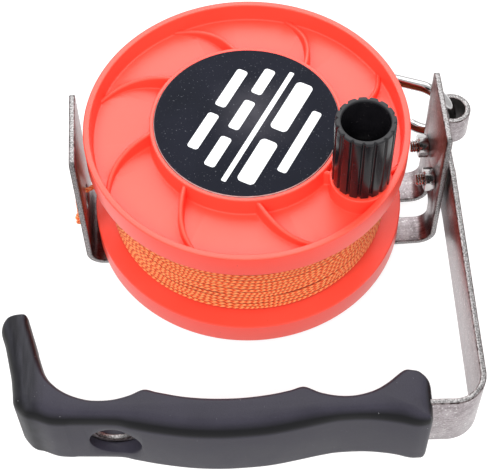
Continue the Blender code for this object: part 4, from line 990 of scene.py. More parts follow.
def smooth_path(points, steps, closed=False):
    """A Catmull-Rom curve through the points, with steps pieces to each span."""
    count = len(points)
    result = []
    for i in range(count if closed else count - 1):
        picks = [i - 1, i, i + 1, i + 2]
        if closed:
            picks = [pick % count for pick in picks]
        else:
            picks = [min(max(pick, 0), count - 1) for pick in picks]
        before, start, end, after = [Vector(points[pick]) for pick in picks]
        for step in range(steps):
            t = step / steps
            result.append(0.5 * (2 * start + (end - before) * t
                                 + (2 * before - 5 * start + 4 * end - after) * t * t
                                 + (3 * start - before - 3 * end + after) * t * t * t))
    if not closed:
        result.append(Vector(points[-1]))
    return result


def plaits_in(run, plait):
    """How many plaits lie in a run of line, which is drawn tighter here and looser there."""
    plaits = run / plait
    for size, rate, start in PLAIT_WAVES:
        plaits += size * math.sin(rate * run + start)
    return plaits


def swept(points, radius, resolution, plait=None, twist='MINIMUM'):
    """A round tube along the points. Plaited line is lumpy, and its UV map counts its plaits."""
    curve = bpy.data.curves.new("sweep", 'CURVE')
    curve.dimensions = '3D'
    curve.twist_mode = twist
    curve.bevel_depth = radius
    curve.bevel_resolution = resolution
    curve.use_fill_caps = True
    spline = curve.splines.new('POLY')
    spline.points.add(len(points) - 1)
    run = 0.0
    for i, (target, point) in enumerate(zip(spline.points, points)):
        target.co = (*point, 1.0)
        if plait is not None:
            run += (Vector(point) - Vector(points[max(i - 1, 0)])).length
            target.radius = 1.0 + LUMP_SHARE * math.cos(math.tau * plaits_in(run, plait))
    made = linked("sweep", curve)
    mesh = built(made)
    bpy.data.objects.remove(made, do_unlink=True)
    bm = as_shape(mesh)
    if plait is not None:
        layer = bm.loops.layers.uv.active
        for face in bm.faces:
            for loop in face.loops:
                loop[layer].uv.x = plaits_in(loop[layer].uv.x * run, plait)
    return bm


# Stage

def make_camera():
    level = Vector((math.cos(CAMERA_HEADING), -math.sin(CAMERA_HEADING), 0.0))
    forward = Vector((math.sin(CAMERA_HEADING) * math.cos(CAMERA_PITCH),
                      math.cos(CAMERA_HEADING) * math.cos(CAMERA_PITCH),
                      -math.sin(CAMERA_PITCH)))
    upright = level.cross(forward)
    right = level * math.cos(CAMERA_ROLL) + upright * math.sin(CAMERA_ROLL)
    up = upright * math.cos(CAMERA_ROLL) - level * math.sin(CAMERA_ROLL)
    turn = Matrix((right, up, -forward)).transposed().to_4x4()
    lens = bpy.data.cameras.new("camera")
    lens.lens = CAMERA_LENS
    camera = linked("camera", lens)
    camera.matrix_world = Matrix.Translation(CAMERA_PLACE) @ turn
    bpy.context.scene.camera = camera


def make_lamp(name, place, size, power, mirrored):
    lamp = bpy.data.lights.new(name, 'AREA')
    lamp.shape = 'RECTANGLE'
    lamp.size, lamp.size_y = size
    lamp.energy = power
    made = linked(name, lamp)
    aim = (Vector(STAGE_MIDDLE) - Vector(place)).to_track_quat('-Z', 'Y')
    made.matrix_world = Matrix.Translation(place) @ aim.to_matrix().to_4x4()
    made.visible_camera = False
    made.visible_glossy = mirrored


def make_world():
    """White where it is seen or mirrored, softer where it only lights."""
    world = bpy.data.worlds.new("studio")
    bpy.context.scene.world = world
    world.use_nodes = True
    nodes = Nodes(world.node_tree)
    background = world.node_tree.nodes["Background"]
    nodes.put(background, "Color", (1.0, 1.0, 1.0, 1.0))
    nodes.put(background, "Strength", nodes.seen() * (1.0 - WORLD_LIGHT) + WORLD_LIGHT)


def stage_sheet(name, finish, reach):
    bm = bmesh.new()
    bmesh.ops.create_grid(bm, x_segments=1, y_segments=1, size=reach)
    mesh = as_mesh(name, bm)
    mesh.materials.append(finish.material)
    sheet = linked(name, mesh)
    return sheet


def make_floor():
    finish = Finish("floor_paper", FLOOR_GREY, 0.9, specular=0.0)
    finish.feed("Emission Color", finish.blend((0.0, 0.0, 0.0), (1.0, 1.0, 1.0), finish.seen()))
    finish.feed("Emission Strength", FLOOR_GLOW)
    stage_sheet("floor", finish, FLOOR_REACH).location.z = -GAP


def make_dark_card():
    """A dark card round the camera, seen only in reflections."""
    finish = Finish("dark_card", CARD_GREY, 0.9, specular=0.0)
    card = stage_sheet("dark_card", finish, CARD_REACH)
    aim = (Vector(CARD_PLACE) - Vector(STAGE_MIDDLE)).to_track_quat('Z', 'Y')
    card.matrix_world = Matrix.Translation(CARD_PLACE) @ aim.to_matrix().to_4x4()
    card.visible_camera = False
    card.visible_diffuse = False
    card.visible_shadow = False
    card.visible_transmission = False


def make_stage():
    bpy.context.scene.view_settings.view_transform = 'Standard'
    make_camera()
    make_world()
    make_floor()
    make_dark_card()
    for lamp in LAMPS:
        make_lamp(*lamp)


# The line's free end

def make_tail():
    points = smooth_path(TAIL_ROUTE, TAIL_STEPS)
    knot = make_knot()
    tail = line_piece("line_end", points, LINE_DIAMETER / 2, "frame", "line_tail")


def line_piece(name, points, radius, body, *nodes, finish="line", sides=4):
    tube = swept(points, radius, sides, PLAIT_LENGTH, 'Z_UP' if finish == "wound" else 'MINIMUM')
    return finished(name, tube, [finish], body, "line", *nodes, sharp=math.pi)


def make_knot():
    """An overhand knot, as wide as the node it stands for."""
    low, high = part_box("stopper_knot")
    middle = (low + high) / 2
    strand = LINE_DIAMETER * KNOT_STRAND_SHARE
    reach = (high - low) / 2 - Vector((1.0, 1.0, 1.0)) * strand * (1.0 + LUMP_SHARE)
    widest = 3.0
    points = []
    for i in range(KNOT_STEPS + 1):
        t = math.tau * i / KNOT_STEPS
        points.append(middle + Vector((
            -reach.x * math.sin(3 * t),
            reach.y * (math.sin(t) + 2 * math.sin(2 * t)) / widest,
            reach.z * (math.cos(t) - 2 * math.cos(2 * t)) / widest)))
    return line_piece("end_knot", points, strand, "frame", "stopper_knot")


# The wound line

def smooth_step(value):
    value = min(max(value, 0.0), 1.0)
    return value * value * (3.0 - 2.0 * value)


def line_height(turn, spare):
    """How high the line lies at a turn: closely packed, and lifted over each gap below it."""
    lifts = []
    for first_above, middle, reach, opening in LINE_GAPS:
        middle_turn = middle / 360.0 % 1.0
        above = round(turn - middle_turn)
        off = abs(turn - middle_turn - above) * 360.0
        lift = opening * (0.5 + 0.5 * math.cos(math.pi * min(off / reach, 1.0)))
        lifts.append((lift, above >= first_above))
    loose = spare - sum(lift for lift, _ in lifts)
    return (turn * (LINE_PACKING + loose / LINE_TURNS)
            + sum(lift for lift, raised in lifts if raised))


def line_place(turn):
    """A point of the outer layer. Both its ends dive under it."""
    angle = math.tau * turn
    low = LOWER_TOP_Z + GAP + LINE_DIAMETER / 2
    high = UPPER_LOW_Z - GAP - LINE_DIAMETER / 2
    spare = high - low - LINE_TURNS * LINE_PACKING
    sag = LINE_SAG * math.sin(LINE_SAG_WAVES * angle + LINE_SAG_SHIFT * turn)
    sag += LINE_DRIFT * math.sin(LINE_DRIFT_RATE * turn)
    dive = 1.0 - smooth_step(min(turn, LINE_TURNS - turn) / LINE_DIVE_TURNS)
    radius = LINE_RADIUS - GAP + sag - dive * LINE_DIAMETER
    height = min(max(low + line_height(turn, spare), low), high)
    return Vector((radius * math.cos(angle), radius * math.sin(angle), height))


def make_winding():
    steps = PLAITS_A_TURN * LUMP_STEPS
    points = [line_place(i / steps) for i in range(int(LINE_TURNS * steps) + 1)]
    line_piece("line_turns", points, LINE_DIAMETER / 2, "spool", "line_winding",
               finish="wound", sides=2)
    make_crossing()
    make_line_bed()


def make_crossing():
    """The last stretch, which rises between the turns to where the free end leaves."""
    end = Vector(TAIL_ROUTE[0])
    end_angle = math.atan2(end.y, end.x)
    lying = math.hypot(end.x, end.y)
    sweep = math.tau * CROSSING_TURNS
    count = round(sweep * lying / PLAIT_LENGTH) * LUMP_STEPS
    points = []
    for i in range(count + 1):
        share = i / count
        angle = end_angle - sweep * (1.0 - share)
        rise = smooth_step(share / CROSSING_RISE_SHARE)
        radius = lying - LINE_DIAMETER * CROSSING_DEPTH * (1.0 - rise)
        height = end.z + CROSSING_HEIGHT * (1.0 - share) ** CROSSING_POWER
        points.append((radius * math.cos(angle), radius * math.sin(angle), height))
    line_piece("line_crossing", points, LINE_DIAMETER / 2, "spool", finish="wound")


def make_line_bed():
    """The layers below, in the line's colours darkened as painted shade, seen as darker turns
    between the outer ones.
    """
    low = LOWER_TOP_Z + GAP
    high = UPPER_LOW_Z - GAP
    pitch = (high - low) / BED_TURNS
    outer = LINE_RADIUS - BED_DEPTH - GAP
    profile = [(DRUM_RADIUS + GAP, low)]
    for turn in range(BED_TURNS):
        middle = (outer, low + (turn + 0.5) * pitch)
        profile += arc(middle, pitch / 2, -BED_BULGE, BED_BULGE, 4)
    profile.append((DRUM_RADIUS + GAP, high))
    bm = turned(profile, BED_SIDES)
    inner = outer - pitch
    for vert in bm.verts:
        if radius_of(vert) > inner and low + pitch < vert.co.z < high - pitch:
            angle = math.atan2(vert.co.y, vert.co.x)
            vert.co.z += BED_WAVE * math.sin(2 * angle + vert.co.z * BED_WAVE_RATE)
    finished("line_bed", bm, ["line_painted_shade"], "spool", "line", "line_core")


# Spool

def rib_path(share):
    radius = HUB_RADIUS - RIM_WALL / 2 + (SPOOL_RADIUS - HUB_RADIUS) * share
    late = (1.0 - RIB_TURN_SHARE) * share ** RIB_TURN_POWER
    angle = RIB_SWEEP * (RIB_TURN_SHARE * share + late)
    return Vector((radius * math.cos(angle), radius * math.sin(angle), 0.0))


def make_rib(number):
    """A thin wall on a rounded foot that curves out from the hub and sinks towards the rim."""
    base = FLOOR_Z - RIB_ROOT
    foot_z = FLOOR_Z - RIB_FOOT_SINK
    half = RIB_THICKNESS / 2
    wide = half + RIB_FOOT_REACH
    peak = RIM_TOP_Z
    section = rounded([
        (wide, base, 0.0), (wide, foot_z, 0.0), (half, foot_z, RIB_FOOT),
        (half, peak, RIB_ROUND), (-half, peak, RIB_ROUND), (-half, foot_z, RIB_FOOT),
        (-wide, foot_z, 0.0), (-wide, base, 0.0)])
    bm = extruded(section, 0.0, 1.0, 0)
    lengthwise = [e for e in bm.edges if abs(e.verts[0].co.x - e.verts[1].co.x) > 0.5]
    bmesh.ops.subdivide_edges(bm, edges=lengthwise, cuts=RIB_STEPS - 1, use_grid_fill=True)
    step = RIB_HEADING_STEP
    for vert in bm.verts:
        share, side, height = vert.co
        foot = abs(side) - half
        if foot > 0.0:
            foot *= 1.0 - RIB_FOOT_FADE * smooth_step((share - 0.5) * 2.0)
            side = math.copysign(half + foot, side)
        heading = (rib_path(share + step) - rib_path(share - step)).normalized()
        place = rib_path(share) + side * Vector((-heading.y, heading.x, 0.0))
        crest = peak - RIB_HUB_DROP
        crest += (FLOOR_Z + RIB_RIM_HEIGHT - crest) * share ** RIB_FALL_POWER
        if height > peak - RIB_ROUND - GAP:
            height += crest - peak
        vert.co = (place.x, place.y, max(min(height, crest), min(height, foot_z)))
    swung(bm, RIB_FIRST_ANGLE + math.tau * number / RIB_COUNT)
    bmesh.ops.recalc_face_normals(bm, faces=bm.faces)
    return bm


def screw_cylinders(low, high):
    return gathered([extruded(circle(SCREW_HOLE, SCREW_HOLE_SIDES, (
        SCREW_CIRCLE * math.cos(angle), SCREW_CIRCLE * math.sin(angle))), low, high)
        for angle in (math.pi / 2 + math.tau * number / 3 for number in range(3))])


def make_upper_flange():
    inner = SPOOL_RADIUS - RIM_WALL
    seat = PLATE_RADIUS + GAP
    ledge_z = PLATE_LOW_Z - GAP
    profile = rounded([
        (SLEEVE_BORE, UPPER_LOW_Z, 0.0),
        (SPOOL_RADIUS, UPPER_LOW_Z, RIM_ROUND),
        (SPOOL_RADIUS, RIM_TOP_Z, RIM_ROUND),
        (inner, RIM_TOP_Z, RIM_ROUND),
        (inner - WALL_DRAFT, FLOOR_Z, DISH_FILLET),
        (HUB_RADIUS + WALL_DRAFT / 2, FLOOR_Z, DISH_FILLET),
        (HUB_RADIUS, HUB_TOP_Z, PLATE_EDGE),
        (seat, HUB_TOP_Z, PLATE_EDGE / 4),
        (seat, ledge_z, 0.0),
        (seat - PLATE_LEDGE, ledge_z, 0.0),
        (seat - PLATE_LEDGE, FLOOR_Z, 0.0),
        (SLEEVE_BORE, FLOOR_Z, 0.0)])
    base = FLOOR_Z - BOSS_ROOT
    foot_z = FLOOR_Z - BOSS_FOOT_SINK
    wide = KNOB_BOSS_RADIUS + BOSS_FOOT_REACH
    boss = rounded([
        (0.0, base, 0.0), (wide, base, 0.0), (wide, foot_z, 0.0),
        (KNOB_BOSS_RADIUS, foot_z, BOSS_FOOT), (KNOB_BOSS_RADIUS, RIM_TOP_Z, RIM_ROUND),
        (0.0, RIM_TOP_Z, 0.0)])
    knob = (KNOB_X, KNOB_Y)
    bm = combined(
        turned(profile, SPOOL_SIDES),
        ('UNION', turned(boss, BOSS_SIDES, knob)),
        ('UNION', gathered([make_rib(number) for number in range(RIB_COUNT)])),
        ('DIFFERENCE', extruded(circle(KNOB_BORE, KNOB_BORE_SIDES, knob),
                                RIM_TOP_Z - KNOB_BORE_DEPTH, RIM_TOP_Z + OVERRUN)),
        ('DIFFERENCE', screw_cylinders(UPPER_LOW_Z - OVERRUN, FLOOR_Z + OVERRUN)))
    finished("flange_upper", painted(bm, 0), ["spool"], "spool", "spool_plastic",
             "upper_flange")


def make_lower_flange():
    inner = SPOOL_RADIUS - RIM_WALL
    drum_inner = DRUM_RADIUS - DRUM_WALL
    ratchet_z = SPOOL_LOW_Z + RATCHET_LIFT
    ratchet_outer = TOOTH_ROOT_RADIUS + RATCHET_WALL
    lid_z = DRUM_TOP_Z - DRUM_LID
    profile = rounded([
        (SLEEVE_BORE, SLEEVE_LOW_Z, 0.0),
        (SLEEVE_RADIUS, SLEEVE_LOW_Z, PLATE_EDGE),
        (SLEEVE_RADIUS, lid_z, FLOOR_FILLET),
        (drum_inner, lid_z, FLOOR_FILLET),
        (drum_inner, WEB_LOW_Z, PLATE_EDGE),
        (TOOTH_ROOT_RADIUS, WEB_LOW_Z, 0.0),
        (TOOTH_ROOT_RADIUS, ratchet_z, PLATE_EDGE),
        (ratchet_outer, ratchet_z, PLATE_EDGE),
        (ratchet_outer, WEB_LOW_Z, PLATE_EDGE),
        (inner, WEB_LOW_Z, FLOOR_FILLET),
        (inner, SPOOL_LOW_Z, RIM_ROUND),
        (SPOOL_RADIUS, SPOOL_LOW_Z, RIM_ROUND),
        (SPOOL_RADIUS, LOWER_TOP_Z, RIM_ROUND),
        (DRUM_RADIUS, LOWER_TOP_Z, PLATE_EDGE),
        (DRUM_RADIUS, DRUM_TOP_Z, PLATE_EDGE),
        (SLEEVE_BORE, DRUM_TOP_Z, 0.0)])
    half = TOOTH_WIDTH / 2
    root = TOOTH_ROOT_RADIUS + RATCHET_WALL / 2
    outline = [(TOOTH_TIP_RADIUS, -half + PLATE_EDGE), (TOOTH_TIP_RADIUS, half - PLATE_EDGE),
               (TOOTH_TIP_RADIUS + PLATE_EDGE, half), (root, half), (root, -half),
               (TOOTH_TIP_RADIUS + PLATE_EDGE, -half)]
    teeth = []
    for number in range(TOOTH_COUNT):
        tooth = extruded(outline, ratchet_z + PLATE_EDGE, WEB_LOW_Z + RATCHET_WALL / 2)
        teeth.append(swung(tooth, math.tau * (number + 0.5) / TOOTH_COUNT))
    bm = combined(turned(profile, SPOOL_SIDES), ('UNION', gathered(teeth)),
                  ('DIFFERENCE', screw_cylinders(lid_z - OVERRUN, DRUM_TOP_Z + OVERRUN)))
    finished("flange_lower", painted(bm, 0), ["spool"], "spool", "spool_plastic",
             "lower_flange")


def make_plate():
    """The round plate with its plain bars."""
    rim = PLATE_RADIUS - PLATE_EDGE
    profile = [(0.0, PLATE_LOW_Z), (rim, PLATE_LOW_Z), (PLATE_RADIUS, PLATE_LOW_Z + PLATE_EDGE),
               (PLATE_RADIUS, PLATE_TOP_Z - PLATE_EDGE / 2),
               (PLATE_RADIUS - PLATE_EDGE / 2, PLATE_TOP_Z), (0.0, PLATE_TOP_Z)]
    bm = turned(profile, SPOOL_SIDES)
    for face in bm.faces:
        raised = face.calc_center_median().z > PLATE_LOW_Z + PLATE_EDGE
        face.material_index = int(face.normal.z < FACING and raised)
    finished("cover_plate", bm, ["plate", "plate_edge"], "spool", "cover", "hub_cover")
    bars = []
    for along, across, length, width in PLATE_BARS:
        outline = rectangle(along - length / 2, across - width / 2, along + length / 2,
                            across + width / 2, width / 4, 3)
        bars.append(extruded(outline, PLATE_TOP_Z - INK_THICKNESS, PLATE_TOP_Z + INK_THICKNESS))
    finished("cover_marks", swung(gathered(bars), BARS_ANGLE), ["ink"], "spool", "cover")


# Knob

def flute_depth(angle):
    """How deep the knob's wall lies below its lands, from 0 to 1."""
    pitch = math.tau / KNOB_FLUTES
    off = abs((angle / pitch) % 1.0 - 0.5)
    if off > KNOB_FLUTE_SHARE:
        return 0.0
    return math.cos(math.pi / 2 * off / KNOB_FLUTE_SHARE) ** KNOB_FLUTE_POWER


def make_knob():
    low = KNOB_LOW.z
    top = KNOB_HIGH.z
    floor = low + KNOB_FLOOR
    profile = rounded([
        (KNOB_BORE, low, 0.0),
        (KNOB_RADIUS, low, KNOB_RIM_ROUND),
        (KNOB_RADIUS, top, KNOB_RIM_ROUND),
        (KNOB_CUP_RADIUS, top, KNOB_RIM_ROUND),
        (KNOB_CUP_FLOOR_RADIUS, floor, FLOOR_FILLET),
        (KNOB_BORE, floor, 0.0)])
    bm = turned(profile, KNOB_SIDES)
    for vert in bm.verts:
        radius = radius_of(vert)
        if radius > KNOB_CUP_RADIUS + KNOB_FLUTE_DEPTH:
            depth = KNOB_FLUTE_DEPTH * flute_depth(math.atan2(vert.co.y, vert.co.x))
            vert.co.xy *= (radius - depth) / radius
    finished("knob_moulding", moved(bm, (KNOB_X, KNOB_Y, 0.0)), ["knob"], "knob", "knob",
             "winding_knob")
    tip = lowest("knob_screw").z
    seat = floor + GAP
    section = [(0.0, tip, 0.0), (KNOB_SCREW_HEAD[0][0], tip, 0.0)]
    section += [(radius, seat + up, fillet) for radius, up, fillet in KNOB_SCREW_HEAD]
    socket = extruded(circle(KNOB_SOCKET_RADIUS, HEX_SIDES, (KNOB_X, KNOB_Y)),
                      seat + KNOB_SOCKET_FLOOR, seat + KNOB_SCREW_HEAD[-1][1] + OVERRUN)
    head = turned(rounded(section), RING_SIDES, (KNOB_X, KNOB_Y))
    screw = combined(head, ('DIFFERENCE', socket))
    finished("knob_screw_head", painted(screw, 0), ["bright"], "spool", "fasteners",
             "knob_screw")


# Bracket and strap

def make_bracket():
    low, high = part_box("bracket")
    outer = BRACKET_BEND_RADIUS + STEEL
    left = (low.x + outer, outer)
    right = (high.x - outer, outer)
    outline = [(low.x, high.z)]
    outline += arc(left, outer, math.pi, 1.5 * math.pi, BEND_STEPS)
    outline += arc(right, outer, -0.5 * math.pi, 0.0, BEND_STEPS)
    outline += [(high.x, high.z), (EAR_INNER_X, high.z)]
    outline += arc(right, BRACKET_BEND_RADIUS, 0.0, -0.5 * math.pi, BEND_STEPS)
    outline += arc(left, BRACKET_BEND_RADIUS, 1.5 * math.pi, math.pi, BEND_STEPS)
    outline += [(low.x + STEEL, high.z)]
    strip = extruded(outline, low.y, high.y, 1)
    for face in strip.faces:
        middle = face.calc_center_median()
        face.material_index = int(abs(face.normal.y) > FACING or middle.z > high.z - GAP)
    corners = [edge for edge in strip.edges
               if all(vert.co.z > high.z - GAP for vert in edge.verts)
               and abs(edge.verts[0].co.y - edge.verts[1].co.y) < GAP]
    bevelled(strip, corners, EAR_CORNER_RADIUS, CORNER_STEPS)
    front = WINDOW_FRONT_Y
    back = WINDOW_FRONT_Y + WINDOW_WIDTH
    bend_x = high.x - outer
    in_base = extruded(rounded([
        (WINDOW_INNER_X, front, WINDOW_CORNER_RADIUS), (bend_x + OVERRUN, front, 0.0),
        (bend_x + OVERRUN, back, 0.0), (WINDOW_INNER_X, back, WINDOW_CORNER_RADIUS)],
        CORNER_STEPS), -OVERRUN, STEEL + OVERRUN)
    in_ear = extruded(rounded([
        (front, -OVERRUN, 0.0), (back, -OVERRUN, 0.0),
        (back, WINDOW_TOP_Z, WINDOW_CORNER_RADIUS),
        (front, WINDOW_TOP_Z, WINDOW_CORNER_RADIUS)], CORNER_STEPS),
        bend_x, high.x + OVERRUN, 0)
    window = combined(in_base, ('UNION', in_ear))
    guide = extruded(circle(GUIDE_HOLE_RADIUS, GUIDE_HOLE_SIDES, (GUIDE_HOLE_Y, GUIDE_HOLE_Z)),
                     low.x - OVERRUN, low.x + STEEL + OVERRUN, 0)
    bm = combined(strip, ('DIFFERENCE', painted(window, 1)), ('DIFFERENCE', painted(guide, 1)),
                  ('DIFFERENCE', painted(bolt_holes(EAR_INNER_X), 1)))
    finished("bracket_sheet", soften(bm, SHEET_ROUND, paint=2), ["bracket", "edge", "corner"],
             "frame", "stainless", "bracket")


def bolt_centres():
    for number in (1, 2):
        low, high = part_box(f"strap_nut_{number}")
        yield ((low.y + high.y) / 2, (low.z + high.z) / 2)


def bolt_holes(inner_x):
    return gathered([extruded(circle(BOLT_HOLE_RADIUS, HOLE_SIDES, centre), inner_x - OVERRUN,
                              inner_x + STEEL + OVERRUN, 0) for centre in bolt_centres()])


def strap_path():
    """The strap's middle line in plan, from the curl's free end to the end of the tang."""
    points = arc((CURL_X, CURL_Y), CURL_MID_RADIUS, math.pi - CURL_SWEEP, math.pi,
                 3 * BEND_STEPS)
    points.append((STRAP_INNER_X + STEEL / 2, STRAP_LEAN_START_Y))
    heading = -math.pi / 2 - STRAP_LEAN
    last_heading = -math.pi - STRAP_FRONT_SLOPE
    corner_x = points[-1][0] + math.tan(STRAP_LEAN) * (STRAP_FRONT_Y - points[-1][1])
    turn = abs(last_heading - heading)
    setback = STRAP_CORNER_RADIUS * math.tan(turn / 2)
    ahead = Vector((math.cos(heading), math.sin(heading)))
    enter = Vector((corner_x, STRAP_FRONT_Y)) - setback * ahead
    middle = enter + STRAP_CORNER_RADIUS * Vector((math.sin(heading), -math.cos(heading)))
    first = math.atan2(enter.y - middle.y, enter.x - middle.x)
    points += arc(middle, STRAP_CORNER_RADIUS, first, first - turn, 2 * BEND_STEPS)
    run = points[-1][0] - TANG_END_X
    points.append((TANG_END_X, points[-1][1] + run * math.tan(STRAP_FRONT_SLOPE)))
    return points


def beside(points, distance):
    """The path moved sideways by distance."""
    result = []
    for i, point in enumerate(points):
        here = Vector(point)
        first = (here - Vector(points[max(i - 1, 0)])).normalized()
        second = (Vector(points[min(i + 1, len(points) - 1)]) - here).normalized()
        side = Vector((-(first + second).y, (first + second).x)).normalized()
        straight = first if i > 0 else second
        square = Vector((-straight.y, straight.x))
        result.append(tuple(here + side * (distance / side.dot(square))))
    return result


def make_strap():
    path = strap_path()
    outline = beside(path, STEEL / 2) + beside(path, -STEEL / 2)[::-1]
    strip = extruded(outline, STRAP_LOW_Z, STRAP_HIGH_Z)
    for face in strip.faces:
        face.material_index = int(abs(face.normal.z) > FACING)
        middle = face.calc_center_median()
        # Faces inside the curl take its painted shade
        if math.hypot(middle.x - CURL_X, middle.y - CURL_Y) < CURL_INNER_RADIUS + GAP / 3:
            face.material_index = 2
    cuts = []
    near = CURL_Y - CURL_MID_RADIUS - STEEL
    far = CURL_Y + CURL_MID_RADIUS + STEEL
    right = CURL_X + CURL_MID_RADIUS + STEEL
    outer_x = STRAP_INNER_X + STEEL
    for rim, tongue in ((STRAP_LOW_Z - OVERRUN, STRAP_MID_Z - TONGUE_WIDTH / 2),
                        (STRAP_HIGH_Z + OVERRUN, STRAP_MID_Z + TONGUE_WIDTH / 2)):
        shoulder = rounded([(TONGUE_START_Y, rim, 0.0), (TONGUE_START_Y, tongue, SHOULDER_RADIUS),
                            (far, tongue, 0.0), (far, rim, 0.0)], CORNER_STEPS)
        curl_side = [(near, rim), (near, tongue), (far, tongue), (far, rim)]
        for outline, inner_x, end_x in ((shoulder, STRAP_INNER_X - OVERRUN, outer_x + GAP),
                                        (curl_side, outer_x + GAP / 2, right)):
            cuts.append(('DIFFERENCE', painted(extruded(outline, inner_x, end_x, 0), 1)))
    hole = extruded(circle(TANG_HOLE_RADIUS, WIDE_SIDES, (LANYARD_HOLE_X, STRAP_MID_Z)),
                    STRAP_FRONT_Y - GRIP_DEPTH, STRAP_FRONT_Y + GRIP_DEPTH, 1)
    bm = combined(strip, *cuts, ('DIFFERENCE', painted(bolt_holes(STRAP_INNER_X), 1)),
                  ('DIFFERENCE', painted(hole, 1)))
    tops = [edge for edge in bm.edges if len(edge.link_faces) == 2
            and abs(edge.verts[0].co.x - edge.verts[1].co.x) > STEEL / 2
            and all(abs(vert.co.y - TONGUE_START_Y) < GAP for vert in edge.verts)
            and all(abs(abs(vert.co.z - STRAP_MID_Z) - (STRAP_HIGH_Z - STRAP_MID_Z)) < GAP
                    for vert in edge.verts)]
    bevelled(bm, tops, EAR_CORNER_RADIUS, EAR_CORNER_STEPS)
    finished("strap_sheet", soften(bm, SHEET_ROUND, paint=3),
             ["strap", "edge", "curl", "corner"], "frame", "stainless", "handle_strap")


def make_fasteners():
    """Each bolt with its washer, spacer and nut, turned along X."""
    for number, centre in enumerate(bolt_centres(), 1):
        along_x = Matrix.Rotation(math.pi / 2, 4, 'Y')
        to_place = Matrix.Translation((0.0, *centre)) @ along_x
        bolt_low, bolt_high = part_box(f"strap_bolt_{number}")
        head_x = bolt_high.x - BOLT_HEAD_HEIGHT
        parts = (
            ("bolt", threaded_bolt(bolt_low.x, head_x, bolt_high.x), "bright", "fasteners",
             "strap_bolt"),
            ("nut", hex_nut(*ends_along_x(f"strap_nut_{number}")), "bright", "fasteners",
             "strap_nut"),
            ("washer", ring(WASHER_RADIUS, *ends_along_x(f"bolt_washer_{number}")), "bright",
             "fasteners", "bolt_washer"),
            ("spacer", ring(SPACER_RADIUS, *ends_along_x(f"strap_spacer_{number}")), "nylon",
             "bearing", "strap_spacer"))
        for name, bm, finish, slot, node in parts:
            bmesh.ops.transform(bm, matrix=to_place, verts=bm.verts)
            finished(f"{name}_{number}", bm, [finish], "frame", slot, f"{node}_{number}")


def ends_along_x(node):
    low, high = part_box(node)
    return low.x, high.x


def ring(radius, low, high):
    edge = PLATE_EDGE / 2
    profile = rounded([(BOLT_HOLE_RADIUS, low, 0.0), (radius, low, edge), (radius, high, edge),
                       (BOLT_HOLE_RADIUS, high, 0.0)], 2)
    return turned(profile, RING_SIDES)


def chamfered_hex(low, high):
    """A hexagon whose corners are turned off at both ends."""
    corner = NUT_CORNER_RADIUS
    lens = [(0.0, low), (corner - NUT_CHAMFER, low), (corner, low + NUT_CHAMFER / 2),
            (corner, high - NUT_CHAMFER / 2), (corner - NUT_CHAMFER, high), (0.0, high)]
    hexagon = extruded(circle(corner, HEX_SIDES), low, high)
    return combined(turned(lens, WIDE_SIDES), ('INTERSECT', hexagon))


def hex_nut(low, high):
    bore = extruded(circle(BOLT_HOLE_RADIUS, HOLE_SIDES), low - OVERRUN, high + OVERRUN)
    return soften(combined(chamfered_hex(low, high), ('DIFFERENCE', bore)), FASTENER_ROUND, 1)


def threaded_bolt(tip, head, top):
    """A low-headed bolt whose thread is a groove that climbs one pitch to the turn."""
    rows = int((head - tip) / THREAD_PITCH * THREAD_ROWS)
    chain = [(0.0, tip), (BOLT_RADIUS - THREAD_DEPTH, tip)]
    chain += [(BOLT_RADIUS, tip + THREAD_DEPTH + (head - tip - THREAD_DEPTH) * i / rows)
              for i in range(rows + 1)]
    chain += rounded([(0.0, head, 0.0), (BOLT_HEAD_RADIUS, head, FASTENER_ROUND),
                      (BOLT_HEAD_RADIUS, top, BOLT_HEAD_ROUND), (0.0, top, 0.0)])[1:]
    shank = turned(chain, SHANK_SIDES)
    threaded_to = tip + THREADED_SHARE * (head - tip)
    for vert in shank.verts:
        if radius_of(vert) > BOLT_RADIUS - GAP / 2 and tip + GAP < vert.co.z < threaded_to:
            turn = math.atan2(vert.co.y, vert.co.x) / math.tau
            phase = (vert.co.z / THREAD_PITCH - turn) % 1.0
            vert.co.xy *= 1.0 - THREAD_DEPTH / BOLT_RADIUS * (1.0 - abs(2.0 * phase - 1.0))
    socket = extruded(circle(BOLT_SOCKET_RADIUS, HEX_SIDES), top - BOLT_SOCKET_DEPTH,
                      top + OVERRUN)
    return combined(shank, ('DIFFERENCE', socket))


# Grip

